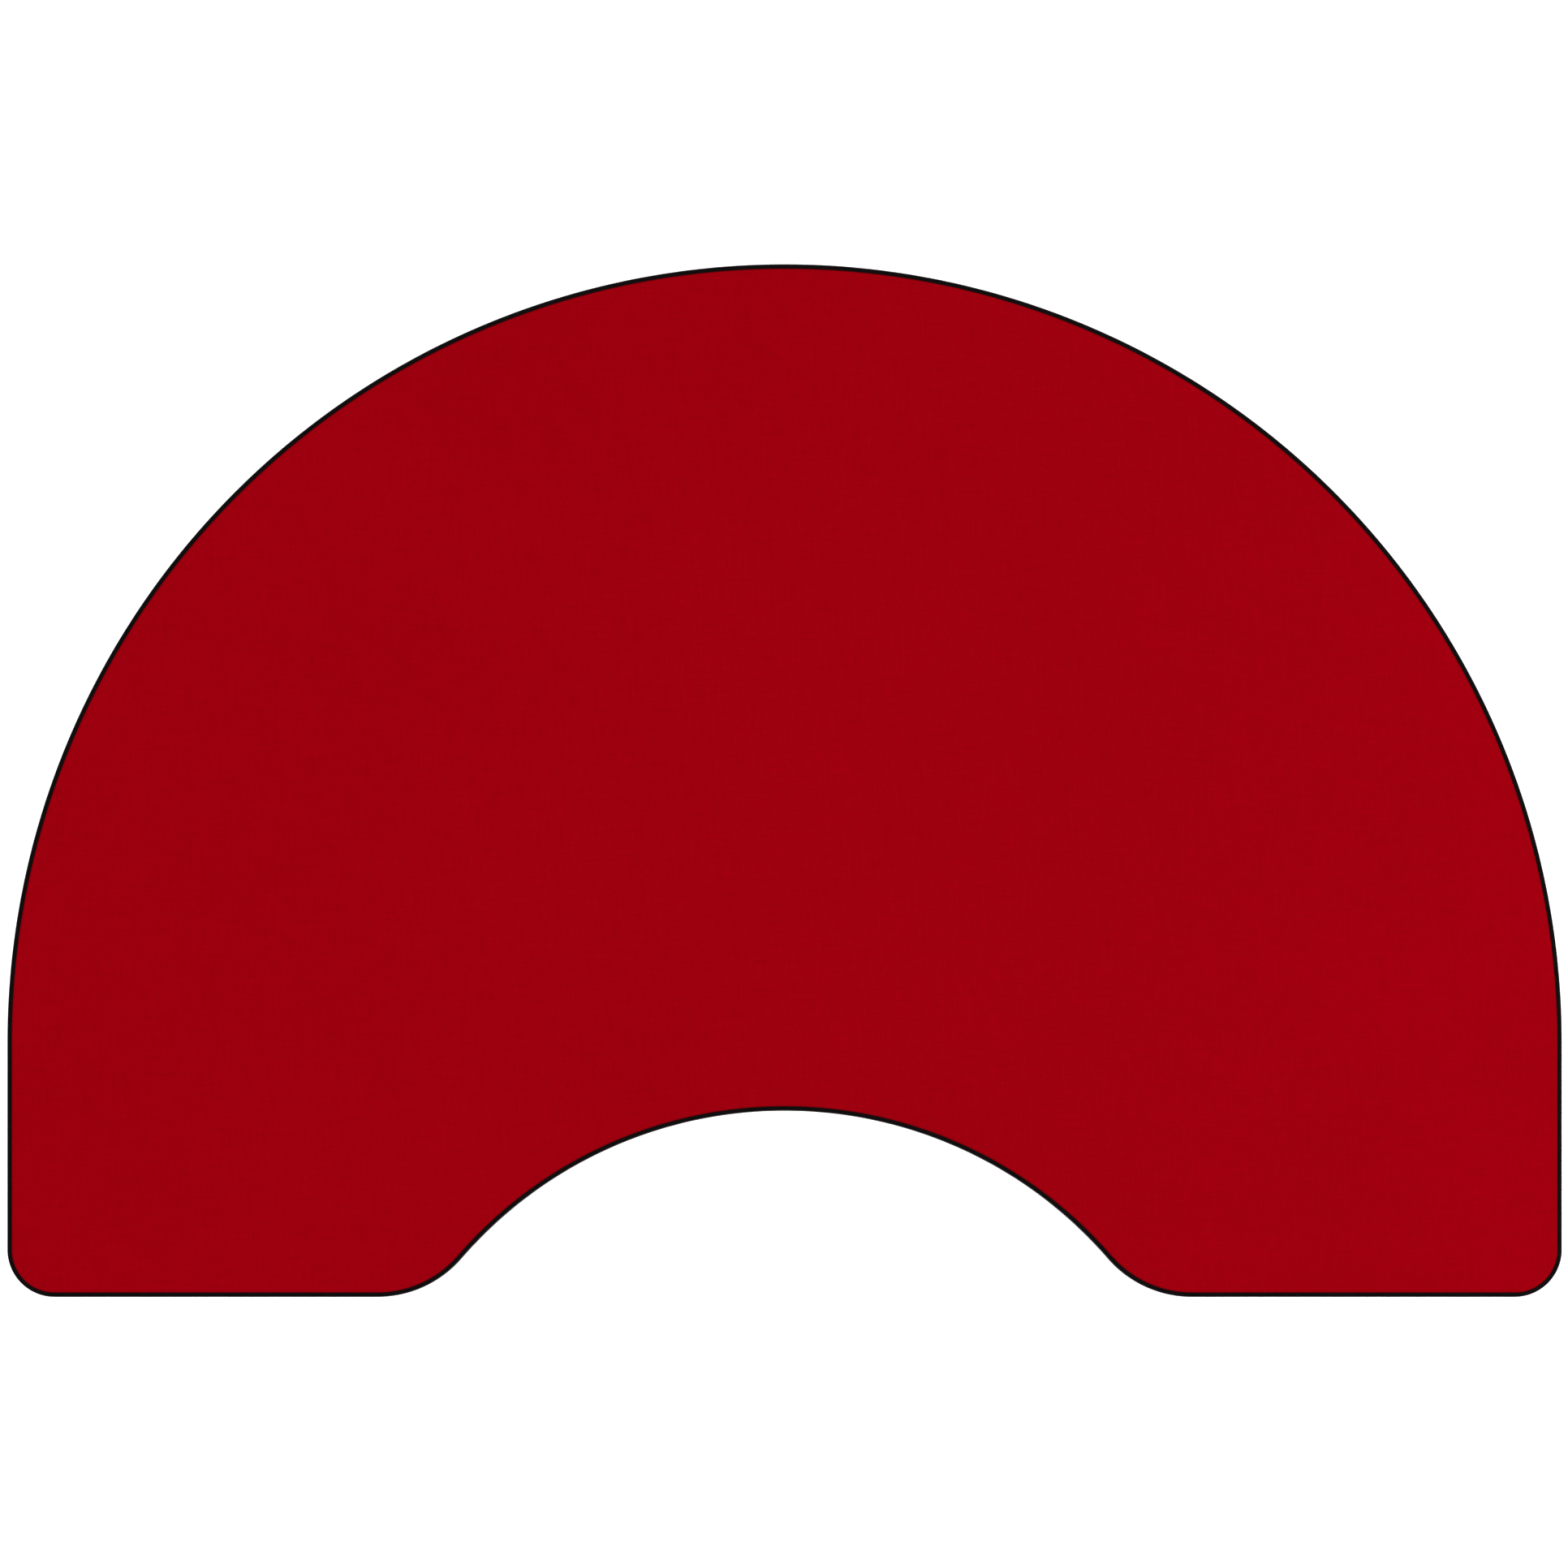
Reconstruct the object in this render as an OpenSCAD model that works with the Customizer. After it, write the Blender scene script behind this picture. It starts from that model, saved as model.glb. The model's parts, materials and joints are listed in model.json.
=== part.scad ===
// Horseshoe-shaped card table for a dealer and seated players.
// A cloth-covered plywood top with a rubbery edge moulding stands on four folding steel legs,
// which swing up into the apron under the top and are held by sprung latches.
//
// Frame: origin on the floor under the middle of the top's outline. +X is to the right of someone
// who faces the players from the dealer's bay, +Y points from the bay to the round back, +Z is up.

/* [Table] */
// Overall width, side to side
table_w = 1829; // [1560:1:2200]
// Straight length of each side, from the dealer's edge to where the round back starts
side_len = 301; // [260:1:420]
// Height of the top of the edge moulding above the floor
table_h = 762; // [700:1:920]
// Radius of the two outer corners on the dealer's side
corner_r = 56; // [46:1:90]

/* [Dealer's bay] */
// Radius of the hollow that the dealer stands in
bay_r = 502; // [420:1:620]
// Depth of the hollow, from the dealer's edge
bay_depth = 219; // [170:1:260]
// Radius of the soft shoulders where the hollow meets the dealer's edge
bay_shoulder_r = 131; // [90:1:150]

/* [Top] */
// Thickness of the plywood panel
panel_t = 18; // [15:0.5:25]
// Thickness of the foam under the cloth
foam_t = 3; // [2:0.5:6]
// Thickness of the cloth
cloth_t = 0.8; // [0.5:0.1:1.5]

/* [Edge moulding] */
// Thickness of the moulding's flange, which is the dark line seen from above
mould_t = 5.7; // [3:0.1:8]
// How much further the flange stands out at its middle than at its corners
mould_crown = 1.1; // [0.5:0.1:1.8]
// Height that the moulding stands above the cloth
mould_rise = 0.2; // [0:0.1:1]
// Length of the tongue that is driven into the panel's slot
tongue_len = 10; // [6:0.5:14]
// Thickness of the tongue
tongue_t = 1.6; // [1:0.1:3]
// Clearance round the tongue in its slot
slot_gap = 0.6; // [0.3:0.1:1]

/* [Apron] */
// Distance from the top's outline to the apron's outer face
apron_in = 45; // [30:1:70]
// Thickness of the apron's boards
apron_t = 15; // [12:0.5:20]
// Depth of the apron's boards
apron_h = 60; // [54:1:90]
// Thickness of the stiffening rails
rail_t = 18; // [12:0.5:25]
// Depth of the stiffening rails
rail_h = 45; // [30:1:54]
// Distance of the cross rails from the round back
cross_rail_in = 148; // [130:1:180]

/* [Legs] */
// Side of the square leg tube
leg_w = 32; // [28:1:40]
// Wall of the leg tube
leg_wall = 2; // [1.5:0.1:3]
// Distance of the front legs' pivots from the sides
front_leg_side_in = 144; // [130:1:200]
// Distance of the front legs' pivots from the dealer's edge
front_leg_edge_in = 143; // [130:1:200]
// Angle round the back at which the rear legs stand, from the table's width
rear_leg_angle = 57; // [50:1:65]
// Distance of the rear legs' pivots from the round back
rear_leg_in = 130; // [120:1:180]
// Turn of the folding direction towards the table's middle
fold_turn = 25; // [15:1:35]

/* [Leg bracket] */
// Thickness of the bracket's steel
steel_t = 3; // [2:0.5:4]
// Depth from the bracket's plate to the pivot
pivot_drop = 24; // [23:0.5:32]
// Diameter of the pivot bolt
bolt_d = 8; // [6:0.5:10]
// Radius of the round head of the leg's knuckle
knuckle_r = 18; // [15:0.5:19]
// Depth of the notches that the latch drops into
notch_depth = 2.6; // [1.5:0.1:3]
// Thickness of each pivot washer
washer_t = 0.8; // [0.5:0.1:1.2]
// Radial clearance of each turning pin
run_gap = 0.05; // [0.02:0.01:0.09]

/* [Feet] */
// Diameter of the rubber pad
pad_d = 38; // [30:1:44]
// Height of the rubber pad
pad_h = 7; // [5:0.5:12]
// Diameter of the threaded stem
stem_d = 8; // [6:0.5:10]
// Length of the threaded stem above the foot's disc
stem_len = 46; // [36:1:60]
// Room between the foot's nut and the socket, when the foot is screwed in
stem_room = 2; // [1:0.5:6]

/* [Hidden] */
$fn = 96;
EPS = 0.01;

// The outline of the top
half_w = table_w / 2;
depth = half_w + side_len;
front_y = -depth / 2;
arc_y = front_y + side_len;
bay_off = bay_r - bay_depth; // from the dealer's edge out to the bay's centre
bay_y = front_y - bay_off;
shoulder_y = front_y + bay_shoulder_r;
shoulder_x = sqrt(pow(bay_r + bay_shoulder_r, 2) - pow(bay_off + bay_shoulder_r, 2));
bay_angle = atan(shoulder_x / (bay_off + bay_shoulder_r));

// The layers of the top, from above
cloth_z = table_h - mould_rise;
foam_z = cloth_z - cloth_t;
panel_top_z = foam_z - foam_t;
panel_z = panel_top_z - panel_t;
cloth_in = mould_t + 0.1; // the cloth's edge stays just clear of the moulding
panel_in = cloth_in + cloth_t;
slot_t = tongue_t + 2 * slot_gap;
slot_z = panel_z + panel_t / 2;
slot_len = tongue_len + 1;
mould_lip = 1; // the moulding's edge under the panel
barb_pitch = 3; // along the tongue
butt_gap = 0.2; // where the moulding's two lengths meet, at the bay's shoulders

// The apron and its fixings
fit_gap = 0.2; // between boards that meet along a curve
apron_back = apron_in + apron_t;
rail_back = apron_back + fit_gap;
block_len = 60;
block_h = 40;
block_t = 18;
corner_block = 50;
angle_leg = 26; // length of each side of an angle bracket
angle_w = 20;
angle_t = 2;
angle_hole_at = 17; // from the bracket's corner
angle_hole_r = 2;
side_angle_at = 0.72; // place on the side board, as a share of its length
front_angle_off = 50; // from the middle of the front board, towards the bay
rail_angle_off = 60; // from the end of the centre rail

// The leg stations: name, side, place of the pivot, direction that the leg folds in
front_x = half_w - front_leg_side_in;
front_leg_y = front_y + front_leg_edge_in;
rear_x = (half_w - rear_leg_in) * cos(rear_leg_angle);
rear_leg_y = arc_y + (half_w - rear_leg_in) * sin(rear_leg_angle);
STATIONS = [
    ["front_left", -front_x, front_leg_y, 90 - fold_turn],
    ["front_right", front_x, front_leg_y, 90 + fold_turn],
    ["rear_left", -rear_x, rear_leg_y, 270 + fold_turn],
    ["rear_right", rear_x, rear_leg_y, 270 - fold_turn],
];
pivot_z = panel_z - steel_t - pivot_drop;

// The bracket, in the pivot's own frame: x the way the leg folds, z up
cheek_in = leg_w / 2 + 0.6; // inner face of each cheek
cheek_out = cheek_in + steel_t;
plate_x = [-42, 62];
plate_hole_x = [-33, 53];
plate_hole_y = cheek_out + 7.4; // leaves room for the screws' heads beside the cheeks
plate_hole_r = 2.6;
plate_y = plate_hole_y + 7;
plate_corner_r = 8;
web_x = -leg_w / 2 - 0.3; // inner face of the back web, which the upright leg rests on
web_z = [-62, -20];
cheek_edge = [ // the lower edge of each cheek, from the back of the plate to its front
    [plate_x[0], -7], [web_x - steel_t, web_z[1] + 1], [web_x - steel_t, web_z[0]],
    [10, web_z[0]], [13, -26], [44, -4],
];
cheek_front = 50; // where the cheeks' front edge meets the plate
washer_r = 11;
washer_gap = 0.1; // beside each washer
bolt_hex = 1.85; // corners of the bolt's head and nut, as a share of the bolt's diameter
bolt_head_h = 5.5;
bolt_end = 9.5; // from the cheek's outer face
lock_nut_h = [5, 7]; // its hexagon and its round collar
collar_d = 1.5; // as a share of the bolt's diameter
knuckle_y = cheek_in - washer_t - 2 * washer_gap;
neck_w = leg_w - 2; // the knuckle's neck is just narrower than the tube
tube_top = -knuckle_r - 4;
tube_r = 4; // of the tube's outer corners
tube_in = leg_w - 2 * leg_wall;
spigot_w = tube_in - 0.4; // the knuckle's spigot and the foot's plug, in the tube
spigot_r = 1.5; // of their corners
spigot_len = 83;
rivet_z = [tube_top - 52, tube_top - 72];
rivet_d = 5;
RIVET_HEAD = [[0, 0], [4.4, 0], [4, 0.7], [2.8, 1.2], [0, 1.4]]; // half section of a rivet's head

// The latch, in the pivot's own frame. Its tooth meets the knuckle at 135 degrees.
latch_turn = 8; // from locked to pressed
latch_arm = 24; // from the latch's pin to its tooth
latch_pin_d = 5;
latch_pin_head = [4.2, 1.6]; // radius and thickness
latch_boss_r = 6.5; // round the pin
latch_pin_r = knuckle_r + 1; // distance of the pin from the tangent through the knuckle's centre
latch_pin = [-(latch_pin_r + latch_arm) / sqrt(2), (latch_pin_r - latch_arm) / sqrt(2)];
tail_len = 25; // from the latch's pin to the end of its tail
latch_y = 5; // half thickness of the latch
tab_y = 14; // half width of its thumb tab
tab_t = 3.5;
tab_len = 21;
tooth_w = 5.6;
notch_gap = 0.3;
tab_top = [-(latch_arm + tail_len + knuckle_r + 5), knuckle_r + 5 - latch_arm - tail_len] / sqrt(2);

// The feet
disc_h = 3;
nut_h = 6;
nut_d = 15;
flange_h = 4;
disc_in = 1; // how deep the disc sits in the pad
foot_top = pad_h + disc_h - disc_in;
rim_w = 4; // of the pad, round the disc
socket_z = foot_top + nut_h + stem_room;
tube_z = socket_z + flange_h;
plug_len = 50;
stem_gap = 0.06;
bumper_at = 560; // from the pivot, along the folded leg
bumper_r = 9;
bumper_gap = 0.4; // under the folded leg

// Screws: shank radius, head radius, head height
plate_screw = [2.2, 4.4, 2.6, 14];
angle_screw = [1.75, 3.4, 2.2, 11];
pilot_gap = 0.05;
recess_w = 0.5; // half width of the cross recess
recess_reach = 0.5; // share of the head's radius
recess_depth = 0.6; // share of the head's height

FIXED_NODES = [
    "top_panel", "foam_underlay", "playing_cloth", "edge_moulding_rim", "edge_moulding_bay",
    "apron_rear_left", "apron_rear_right", "apron_side_left", "apron_side_right",
    "apron_front_left", "apron_front_right", "apron_dealer",
    "centre_rail", "cross_rail_left", "cross_rail_right",
    "glue_blocks", "angle_brackets", "angle_bracket_screws",
    "leg_bracket_screws", "pivot_bolts", "pivot_nuts", "pivot_washers", "latch_pins", "leg_bumpers",
];
STATION_NODES = [
    "leg_bracket", "leg_knuckle", "leg_tube", "knuckle_rivets", "foot_socket",
    "levelling_foot", "foot_pad", "latch_lever", "latch_spring",
];

// ---------------------------------------------------------------- helpers

// Points of one rounded corner at b, between a and c.
function corner(a, b, c, r, steps) =
    let (
        u = (a - b) / norm(a - b),
        v = (c - b) / norm(c - b),
        half = acos(u * v) / 2,
        middle = b + (u + v) / norm(u + v) * r / sin(half),
        from = b + u * r / tan(half) - middle,
        to = b + v * r / tan(half) - middle,
        turn = atan2(from.x * to.y - from.y * to.x, from * to)
    )
    [for (i = [0:steps]) let (t = turn * i / steps)
        middle + [from.x * cos(t) - from.y * sin(t), from.x * sin(t) + from.y * cos(t)]];

// A polygon's points with every corner rounded to r.
function rounded(points, r, steps = 5) =
    let (n = len(points))
    [for (i = [0:n - 1]) each corner(points[(i + n - 1) % n], points[i], points[(i + 1) % n], r, steps)];

// The corners of a square of side w, round the origin.
function square_points(w) = [[-w, -w], [w, -w], [w, w], [-w, w]] / 2;

// Puts children at a leg station, in the pivot's own frame.
module at_station(s, z = pivot_z) {
    translate([s[1], s[2], z]) rotate(s[3]) children();
}

// Puts children at every leg station.
module at_stations(z = pivot_z) {
    for (s = STATIONS) at_station(s, z) children();
}

// Stands a shape drawn in x and z upright, and gives it the thickness from -y to y.
module upright(y) {
    rotate([90, 0, 0]) linear_extrude(2 * y, center = true) children();
}

// Children, and their mirror image on the left.
module both_sides() {
    children();
    mirror([1, 0, 0]) children();
}

// ---------------------------------------------------------------- outline

// The top's outline, drawn in by inset all round.
module outline(inset) {
    r = corner_r - inset;
    difference() {
        union() {
            intersection() {
                translate([0, arc_y]) circle(half_w - inset, $fn = 360);
                translate([-half_w, arc_y]) square([table_w, half_w]);
            }
            if (r > 0) {
                for (side = [-1, 1])
                    translate([side * (half_w - corner_r), front_y + corner_r]) circle(r);
                translate([-half_w + corner_r, front_y + inset])
                    square([table_w - 2 * corner_r, side_len - inset]);
                translate([-half_w + inset, front_y + corner_r])
                    square([table_w - 2 * inset, side_len - corner_r]);
            } else {
                translate([-half_w + inset, front_y + inset])
                    square([table_w - 2 * inset, side_len - inset]);
            }
        }
        translate([0, bay_y]) circle(bay_r + inset, $fn = 180);
        for (side = [-1, 1]) difference() {
            polygon([[side * shoulder_x, shoulder_y], [side * shoulder_x, bay_y], [0, bay_y]]);
            translate([side * shoulder_x, shoulder_y]) circle(bay_shoulder_r - inset);
        }
    }
}

// The strip between two insets of the outline.
module strip(outer, inner) {
    difference() {
        outline(outer);
        outline(inner);
    }
}

// Carries a profile round the outside of the outline, from one of the bay's shoulders to the other.
// The profile's x is its distance in from the outline.
module along_rim() {
    start_x = shoulder_x + butt_gap;
    translate([0, arc_y, 0]) rotate_extrude(angle = 180, $fn = 360)
        translate([half_w, 0]) mirror([1, 0]) children();
    both_sides() {
        translate([0, arc_y, 0]) rotate([90, 0, 0]) linear_extrude(side_len - corner_r)
            translate([half_w, 0]) mirror([1, 0]) children();
        translate([half_w - corner_r, front_y + corner_r, 0]) rotate(-90) rotate_extrude(angle = 90)
            translate([corner_r, 0]) mirror([1, 0]) children();
        translate([start_x, front_y, 0]) rotate([90, 0, 90])
            linear_extrude(half_w - corner_r - start_x) children();
    }
}

// Carries a profile round the bay and its two shoulders. Each half is turned so that the bay meets
// the shoulder along the x axis, and the halves overlap in the middle of the bay.
module along_bay() {
    both_sides() translate([0, bay_y, 0]) rotate(90 - bay_angle) {
        rotate_extrude(angle = bay_angle + 3, $fn = 180) translate([bay_r, 0]) children();
        translate([bay_r + bay_shoulder_r, 0, 0]) mirror([1, 0, 0]) mirror([0, 1, 0])
            rotate_extrude(angle = bay_angle) translate([bay_shoulder_r, 0]) mirror([1, 0]) children();
    }
}

// ---------------------------------------------------------------- screws

// A pan-head screw that points up into the wood, with a cross recess in its head.
module screw(size) {
    shank_r = size[0];
    head_r = size[1];
    head_h = size[2];
    difference() {
        rotate_extrude($fn = 32) polygon(concat(
            [[0, size[3]], [shank_r, size[3] - shank_r], [shank_r, 0], [head_r, 0]],
            [for (t = [15:15:75]) [head_r * cos(t), -head_h * sin(t)]],
            [[0, -head_h]]
        ));
        translate([0, 0, -head_h - 1]) linear_extrude(1 + head_h * recess_depth)
            polygon([for (turn = [0:90:270])
                let (c = cos(turn), s = sin(turn), reach = head_r * recess_reach) each [
                    [reach * c + recess_w * s, reach * s - recess_w * c],
                    [reach * c - recess_w * s, reach * s + recess_w * c],
                    [recess_w * (c - s), recess_w * (s + c)],
                ]]);
    }
}

// The hole that a screw's shank fills.
module pilot(size) {
    cylinder(size[3] + pilot_gap, r = size[0] + pilot_gap, $fn = 32);
}

// Puts children at each hole of every leg bracket, under its plate, pointing up.
module at_plate_holes() {
    at_stations(panel_z - steel_t)
        for (x = plate_hole_x, y = [-plate_hole_y, plate_hole_y]) translate([x, y, 0]) children();
}

// ---------------------------------------------------------------- angle brackets

// Places round the apron's inner face: x, y, and the direction that faces the table's middle.
ARC_ANGLES = [12, 40, 74];
BAY_ANGLES = [26];
function right_angles() = concat(
    [for (a = ARC_ANGLES) [
        (half_w - rail_back) * cos(a),
        arc_y + (half_w - rail_back) * sin(a),
        a + 180
    ]],
    [for (a = BAY_ANGLES) [
        (bay_r + rail_back) * sin(a),
        bay_y + (bay_r + rail_back) * cos(a),
        90 - a
    ]],
    [
        [half_w - rail_back, front_y + side_len * side_angle_at, 180],
        [(shoulder_x + half_w) / 2 - front_angle_off, front_y + rail_back, 90],
        [rail_t / 2, arc_y + half_w - rail_back - rail_angle_off, 0],
        [rail_t / 2, bay_y + bay_r + rail_back + rail_angle_off, 0],
    ]
);
ANGLE_PLACES = concat(right_angles(), [for (p = right_angles()) [-p[0], p[1], 180 - p[2]]]);

module at_angles() {
    for (p = ANGLE_PLACES) translate([p[0], p[1], panel_z]) rotate(p[2]) children();
}

// Puts children under the panel and on the board at each angle bracket, pointing into the wood.
module at_angle_holes() {
    at_angles() {
        translate([angle_hole_at, 0, -angle_t]) children();
        translate([angle_t, 0, -angle_hole_at]) rotate([0, -90, 0]) children();
    }
}

module angle_bracket() {
    difference() {
        translate([0, angle_w / 2, 0]) rotate([90, 0, 0]) linear_extrude(angle_w)
            polygon([
                [0, 0], [angle_leg, 0], [angle_leg, -angle_t],
                [angle_t, -angle_t], [angle_t, -angle_leg], [0, -angle_leg],
            ]);
        translate([angle_hole_at, 0, -angle_t - 1]) cylinder(angle_t + 2, r = angle_hole_r, $fn = 32);
        translate([-1, 0, -angle_hole_at]) rotate([0, 90, 0])
            cylinder(angle_t + 2, r = angle_hole_r, $fn = 32);
    }
}

// ---------------------------------------------------------------- the top

module top_panel() {
    color("burlywood") difference() {
        translate([0, 0, panel_z]) linear_extrude(panel_t) outline(panel_in);
        translate([0, 0, slot_z - slot_t / 2]) linear_extrude(slot_t)
            strip(panel_in - 1, panel_in + slot_len);
        at_plate_holes() pilot(plate_screw);
        at_angle_holes() pilot(angle_screw);
    }
}

module foam_underlay() {
    color("dimgray") translate([0, 0, panel_top_z]) linear_extrude(foam_t) outline(panel_in);
}

// The cloth lies on the foam and is turned down over the panel's edge as far as the slot.
module playing_cloth() {
    skirt_z = slot_z + slot_t / 2;
    color([0.62, 0, 0.05]) {
        translate([0, 0, foam_z]) linear_extrude(cloth_t) outline(cloth_in);
        translate([0, 0, skirt_z]) linear_extrude(foam_z - skirt_z) strip(cloth_in, panel_in);
    }
}

// T-shaped in section: a crowned flange, and a barbed tongue for the panel's slot.
module moulding_profile() {
    low = panel_z - mould_lip;
    middle = (low + table_h) / 2;
    rise = (table_h - low) / 2;
    tongue = tongue_t / 2;
    barb = tongue + slot_gap / 2;
    tip = panel_in + tongue_len;
    barbs = [for (i = [1:floor((tongue_len - 1) / barb_pitch)]) panel_in + i * barb_pitch];
    crown = [for (t = [-1:0.2:1]) [mould_crown * t * t, middle + rise * t]];
    polygon(concat(
        crown,
        [[mould_t, table_h], [mould_t, slot_z + slot_t / 2], [panel_in, slot_z + slot_t / 2]],
        [[panel_in, slot_z + tongue]],
        [for (x = barbs) each [[x, slot_z + tongue], [x, slot_z + barb]]],
        [[tip, slot_z]],
        [for (i = [len(barbs) - 1:-1:0]) each [[barbs[i], slot_z - barb], [barbs[i], slot_z - tongue]]],
        [[panel_in, slot_z - tongue], [panel_in, panel_z], [panel_in + 1, panel_z], [panel_in + 1, low]]
    ));
}

module edge_moulding_rim() {
    color([0.07, 0.07, 0.08]) along_rim() moulding_profile();
}

module edge_moulding_bay() {
    color([0.07, 0.07, 0.08]) along_bay() moulding_profile();
}

// ---------------------------------------------------------------- apron and rails

// A board of the apron: the part of the apron's strip that the children cover.
module apron_board() {
    color("saddlebrown") difference() {
        translate([0, 0, panel_z - apron_h]) linear_extrude(apron_h) intersection() {
            strip(apron_in, apron_back);
            children();
        }
        at_angle_holes() pilot(angle_screw);
    }
}

module rear_zone() {
    translate([0, arc_y]) square([half_w, half_w]);
}

module side_zone() {
    translate([half_w - apron_back, front_y]) square([apron_back, side_len]);
}

module front_zone() {
    translate([shoulder_x, front_y]) square([half_w - apron_back - shoulder_x, apron_back + 1]);
}

module dealer_zone() {
    far_y = front_y + bay_depth + apron_back + 1;
    polygon([[-shoulder_x, front_y], [shoulder_x, front_y], [shoulder_x, far_y], [-shoulder_x, far_y]]);
}

// A rail under the panel, cut to the apron's inner faces. The children are its plan.
module rail(height) {
    color("tan") difference() {
        translate([0, 0, panel_z - height]) linear_extrude(height) intersection() {
            outline(rail_back);
            children();
        }
        at_angle_holes() pilot(angle_screw);
    }
}

module centre_rail() {
    rail(rail_h) translate([-rail_t / 2, front_y]) square([rail_t, depth]);
}

module cross_rail() {
    rail(rail_h) translate([rail_t / 2, front_y + depth - cross_rail_in - rail_t])
        square([half_w, rail_t]);
}

// Blocks glued behind the apron's joints: two in the outer corners, four along its length.
module glue_blocks() {
    color("tan") both_sides() translate([0, 0, panel_z - block_h]) linear_extrude(block_h) {
        translate([half_w - rail_back, front_y + rail_back])
            polygon([[0, 0], [-corner_block, 0], [0, corner_block]]);
        intersection() {
            strip(rail_back, rail_back + block_t);
            union() {
                translate([half_w / 2, arc_y - block_len / 2]) square([half_w, block_len]);
                translate([shoulder_x - block_len / 2, front_y]) square([block_len, 2 * apron_back]);
            }
        }
    }
}

module angle_brackets() {
    color("silver") at_angles() angle_bracket();
}

module angle_bracket_screws() {
    color("gainsboro") at_angle_holes() screw(angle_screw);
}

// ---------------------------------------------------------------- leg brackets and latches

// The bracket's side, in x and z.
module cheek() {
    difference() {
        polygon(rounded(concat(
            [[plate_x[0], pivot_drop + steel_t / 2]], cheek_edge, [[cheek_front, pivot_drop + steel_t / 2]]
        ), 3));
        circle(bolt_d / 2 + run_gap);
        translate(latch_pin) circle(latch_pin_d / 2 + run_gap);
    }
}

module leg_bracket() {
    color("silver") {
        difference() {
            translate([0, 0, pivot_drop]) linear_extrude(steel_t)
                polygon(rounded([
                    [plate_x[0], -plate_y], [plate_x[1], -plate_y],
                    [plate_x[1], plate_y], [plate_x[0], plate_y],
                ], plate_corner_r));
            for (x = plate_hole_x, y = [-plate_hole_y, plate_hole_y])
                translate([x, y, pivot_drop - 1]) cylinder(steel_t + 2, r = plate_hole_r, $fn = 32);
        }
        intersection() {
            for (side = [-1, 1]) translate([0, side * (cheek_in + steel_t / 2), 0])
                upright(steel_t / 2) cheek();
            translate([-100, -50, -100]) cube([200, 100, 100 + pivot_drop + EPS]);
        }
        translate([web_x - steel_t, -cheek_in - EPS, web_z[0] + 3])
            cube([steel_t, 2 * cheek_in + 2 * EPS, web_z[1] - web_z[0] - 3]);
    }
}

module leg_bracket_screws() {
    color("gainsboro") at_plate_holes() screw(plate_screw);
}

module pivot_bolts() {
    color("dimgray") at_stations() rotate([90, 0, 0]) {
        cylinder(cheek_out + bolt_end, d = bolt_d);
        translate([0, 0, -cheek_out - 1]) cylinder(cheek_out + 1 + EPS, d = bolt_d);
        translate([0, 0, -cheek_out - bolt_head_h]) cylinder(bolt_head_h, d = bolt_d * bolt_hex, $fn = 6);
    }
}

// Lock nuts, each with a round collar.
module pivot_nuts() {
    color("silver") at_stations() translate([0, -cheek_out, 0]) rotate([90, 0, 0]) difference() {
        union() {
            cylinder(lock_nut_h[0], d = bolt_d * bolt_hex, $fn = 6);
            cylinder(lock_nut_h[1], d = bolt_d * collar_d);
        }
        translate([0, 0, -1]) cylinder(lock_nut_h[1] + 2, d = bolt_d + 2 * pilot_gap);
    }
}

module pivot_washers() {
    color("whitesmoke") at_stations() for (side = [-1, 1])
        translate([0, side * (knuckle_y + washer_gap + washer_t / 2), 0]) rotate([90, 0, 0]) difference() {
            cylinder(washer_t, r = washer_r, center = true);
            cylinder(washer_t + 1, d = bolt_d + 2 * pilot_gap, center = true);
        }
}

module latch_pins() {
    color("silver") at_stations() translate([latch_pin.x, 0, latch_pin.y]) rotate([90, 0, 0]) {
        cylinder(2 * cheek_out, d = latch_pin_d, center = true);
        for (end = [-1, 1]) translate([0, 0, end * (cheek_out + latch_pin_head[1] / 2)])
            cylinder(latch_pin_head[1], r = latch_pin_head[0], center = true);
    }
}

// The latch in x and z, locked, before its thumb tab.
module latch_profile() {
    difference() {
        union() {
            translate(latch_pin) circle(latch_boss_r);
            rotate(45) {
                polygon([
                    [-tooth_w / 2, knuckle_r - notch_depth], [tooth_w / 2, knuckle_r - notch_depth],
                    [tooth_w / 2, knuckle_r + 5], [-tooth_w, knuckle_r + 7.5], [-latch_arm, knuckle_r + 7.5],
                    [-latch_arm - tail_len, knuckle_r + 5], [-latch_arm - tail_len, knuckle_r + 1.5],
                    [-latch_arm, knuckle_r - 5.5], [-tooth_w, knuckle_r + 1], [-tooth_w / 2, knuckle_r + 1],
                ]);
            }
        }
        translate(latch_pin) circle(latch_pin_d / 2 + run_gap);
    }
}

// A lever that turns on its pin. It is drawn pressed, with its tooth clear of the knuckle.
module latch_lever() {
    color("dimgray") translate([latch_pin.x, 0, latch_pin.y]) rotate([0, -latch_turn, 0])
        translate([-latch_pin.x, 0, -latch_pin.y]) {
            upright(latch_y) latch_profile();
            upright(tab_y) polygon(rounded([
                tab_top + [-1, 0], tab_top + [0, -tab_len],
                tab_top + [tab_t, -tab_len], tab_top + [tab_t, 0],
            ], 1.2));
        }
}

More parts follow.
